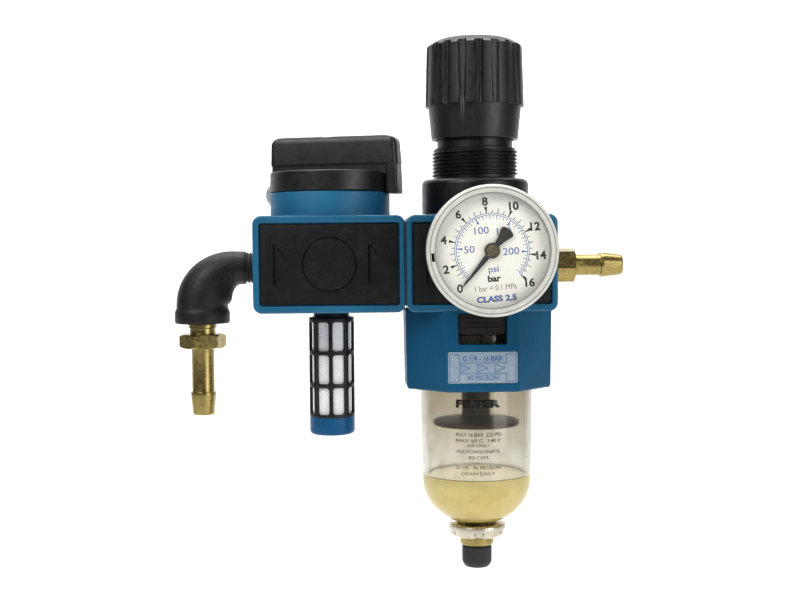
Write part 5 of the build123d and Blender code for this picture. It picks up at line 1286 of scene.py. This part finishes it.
def make_bowl():
    top, dome_z, foot = BOWL.z1, -90.0, BOWL.z0
    outer = [(BOWL.radius, top), (BOWL.radius, -50.0), (23.4, -70.0)] + dome(23.0, dome_z, 8.6, foot + 0.6)
    inner = dome(21.0, dome_z, 5.6, foot + 2.9)[::-1] + [(21.4, -70.0), (21.75, -50.0), (21.75, top)]
    outline = outer + [(8.4, foot + 0.2), (8.0, foot), (5.4, foot), (5.4, foot + 2.6)] + inner
    turned(
        "bowl_shell", "Z", REGULATOR_AXIS, solid_ring(outline), 144, "bowl", "bowl_clear", "bowl", sharp=40,
        body="bowl_group",
    )
    level = -88.4
    wet = [(r + 0.05, z - 0.03) for r, z in dome(21.0, dome_z, 5.6, foot + 2.9)]
    liquid = [(0, level), (20.4, level), (20.85, level + 0.15), (21.06, level + 0.5)]
    liquid += wet + [(0, foot + 2.87)]
    turned(
        "condensate", "Z", REGULATOR_AXIS, liquid, 144, "liquid", "bowl_clear", sharp=50, body="bowl_group",
    )
    line = [
        (20.7, level + 0.1), (20.97, level + 0.75), (21.02, level + 0.75), (21.02, level + 0.1),
        (20.7, level + 0.1),
    ]
    turned("condensate_line", "Z", REGULATOR_AXIS, line, 144, "scum", "baffle_dark", body="bowl_group")
    print_rows = [("FILTER", 3.3, -55.7, 0.06, 18.6)]
    print_rows += [("MAX 16 BAR  232 PSI", 1.6, -68.4, 0, 18.4), ("MAX 60 C  140 F", 1.4, -70.8, 0, 18.4)]
    print_rows += [("AIR ONLY", 1.3, -72.8, 0, 9.5), ("POLYCARBONATE", 1.35, -75.3, 0, 18.0)]
    print_rows += [("80 CM3", 1.3, -77.8, 0, 8.0), ("G 1/4   40 MICRON", 1.35, -81.9, 0, 18.4)]
    print_rows += [("DRAIN DAILY", 1.25, -84.4, 0, 14.0)]
    rows = []
    for text, height, z, bold, width in print_rows:
        row = words(text, height, 0, z - GAUGE_AXIS[1], 0, bold, width=width)
        for vertex in row.data.vertices:
            across = vertex.co.x / MM - GAUGE_AXIS[0] - 1.4
            wall = 23.4 - 0.02 * (-70.0 - z) if z < -70 else 23.4 + 0.0133 * (z + 70.0)
            out = wall + 0.02 + (DIAL_FACE - vertex.co.y / MM)
            place = along("Z", REGULATOR_AXIS, out, -math.pi / 2 + across / wall, vertex.co.z / MM)
            vertex.co = [value * MM for value in place]
        rows.append(row)
    dress(join("bowl_print", *rows), "ink_black", "pointer_black", body="bowl_group")


make_bowl()


def make_drain():
    foot = BOWL.z0
    nut = Span("drain_nut")
    step_z = nut.z0 + 2.7
    outline = rounded([
        (5.4, nut.z0), (10.6, nut.z0), (11.45, nut.z0 + 0.7, 0.3), (11.45, step_z, 0.15),
        (11.9, step_z, 0.15), (12.35, step_z + 0.4, 0.2), (12.35, nut.z1 - 0.6, 0.3), (11.6, nut.z1, 0.2),
        (5.4, nut.z1), (5.4, nut.z0),
    ], steps=3)

    def slots(radius, height, angle):
        if height > step_z - 0.05 or radius < 10:
            return radius
        off = abs((angle / TAU * 6) % 1.0 - 0.5)
        return radius - 1.0 * min(1.0, max(0.0, (0.16 - off) * 40))

    turned(
        "bowl_nut", "Z", REGULATOR_AXIS, outline, 240, "nut", "nut_alloy", "drain_nut", shape=slots, sharp=30,
        body="bowl_group",
    )
    stem = Span("drain_body")
    low, high = stem.z0, stem.z1
    body = rounded([
        (2.6, low), (6.6, low, 0.2), (7.2, low + 0.7, 0.3), (7.2, nut.z0 - 0.02), (5.3, nut.z0 - 0.02),
        (5.3, foot + 2.3), (8.0, foot + 3.3, 0.2), (4.0, high, 0.4), (2.6, high), (2.6, low),
    ], steps=3)
    turned(
        "drain_fitting", "Z", REGULATOR_AXIS, body, 96, "brass_z", "brass", "drain_body", body="bowl_group",
    )
    knob = Span("drain_knob")
    outline = rounded([
        (0, knob.z0 + 0.3), (2.2, knob.z0 + 0.3, 0.2), (2.8, knob.z0, 0.2), (5.2, knob.z0, 1.2),
        (6.3, knob.z0 + 2.2, 0.8), (6.35, low - 1.0, 0.5), (5.7, low - 0.3, 0.2), (2.5, low - 0.3),
        (2.5, knob.z1), (0, knob.z1),
    ], steps=4)

    def knurl(radius, height, angle):
        if radius < 5.9 or height < knob.z0 + 1.4:
            return radius
        wave = math.cos(angle * 24)
        return radius - 0.22 * max(0.0, wave) ** 0.6

    dense = []
    for (r0, z0), (r1, z1) in zip(outline, outline[1:]):
        dense.append((r0, z0))
        if abs(z1 - z0) > 3 and r0 > 5.9:
            dense += [(r0 + (r1 - r0) * t / 6, z0 + (z1 - z0) * t / 6) for t in range(1, 6)]
    dense.append(outline[-1])
    turned(
        "drain_thumb_knob", "Z", REGULATOR_AXIS, dense, 240, "drain", "drain_black", "drain_knob",
        shape=knurl, sharp=45, body="drain_knob_group",
    )


make_drain()

# ---- CAD nodes that keep their shape

NODE_LOOKS = {
    "steel": "turret_screws guard_screws knob_screw joining_studs detent_spring detent_ball spring_nut "
    "adjusting_spindle spindle_clip main_spring return_spring rear_port_plug",
    "brass_z": "valve_seat valve_stem relief_bush filter_stud bourdon_tube movement_frame gauge_sector "
    "pointer_arbor spindle_bush gauge_stem",
    "acetal": "valve_rotor valve_guide",
    "nitrile": "spindle_seal rotor_seals joint_gasket diaphragm bowl_seal",
    "alloy": "diaphragm_plate",
    "porous": "filter_element",
    "baffle": "baffle",
    "latch": "bowl_latch latch_spring swirl_vane",
}


def dress_nodes():
    for material, nodes in NODE_LOOKS.items():
        for node in nodes.split():
            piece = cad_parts[node]
            piece.data.materials.clear()
            piece.data.materials.append(MATERIALS[material])
            shade(piece, 30)


dress_nodes()

# ---- floor and light


def make_stage():
    """A pale floor that runs up into a backdrop."""
    floor_z, back_y, radius, half = -260.0, 900.0, 500.0, 3000.0
    profile = [(-2500.0, floor_z), (back_y - radius, floor_z)]
    for step in range(1, 13):
        angle = math.pi / 2 * step / 12
        profile.append((back_y - radius + radius * math.sin(angle), floor_z + radius * (1 - math.cos(angle))))
    profile.append((back_y, 2500.0))
    vertices = [(side * half, y, z) for y, z in profile for side in (-1, 1)]
    faces = [[2 * i, 2 * i + 1, 2 * i + 3, 2 * i + 2] for i in range(len(profile) - 1)]
    floor = new_piece("backdrop", vertices, faces, 80)
    look = Look("backdrop_white", Roughness=0.9)
    look.colour(look.drift(300, (250, 250, 250), (246, 246, 246), 0.3, 0.7, 2))
    floor.data.materials.append(look.material)


def soft_box(name, place, target, size, power):
    data = bpy.data.lights.new(name, "AREA")
    data.shape = "RECTANGLE"
    data.size, data.size_y = size[0] * MM, size[1] * MM
    data.energy = power
    light = bpy.data.objects.new(name, data)
    place = Vector(place) * MM
    aim = (Vector(target) * MM - place).to_track_quat("-Z", "Y").to_matrix().to_4x4()
    light.matrix_world = Matrix.Translation(place) @ aim
    bpy.context.scene.collection.objects.link(light)


make_stage()
soft_box("key", (-500, -700, 650), (0, -28, -10), (600, 600), 7)
soft_box("fill", (650, -650, 150), (0, -28, -10), (500, 800), 3.6)
soft_box("top", (0, 50, 800), (0, -28, 0), (700, 500), 4)
soft_box("backdrop_wash", (0, 300, 900), (0, 900, 100), (1600, 500), 12)

world = bpy.data.worlds.new("studio")
world.use_nodes = True
world.node_tree.nodes["Background"].inputs["Color"].default_value = (1, 1, 1, 1)
world.node_tree.nodes["Background"].inputs["Strength"].default_value = 0.12
bpy.context.scene.world = world
bpy.context.scene.view_settings.view_transform = "Standard"
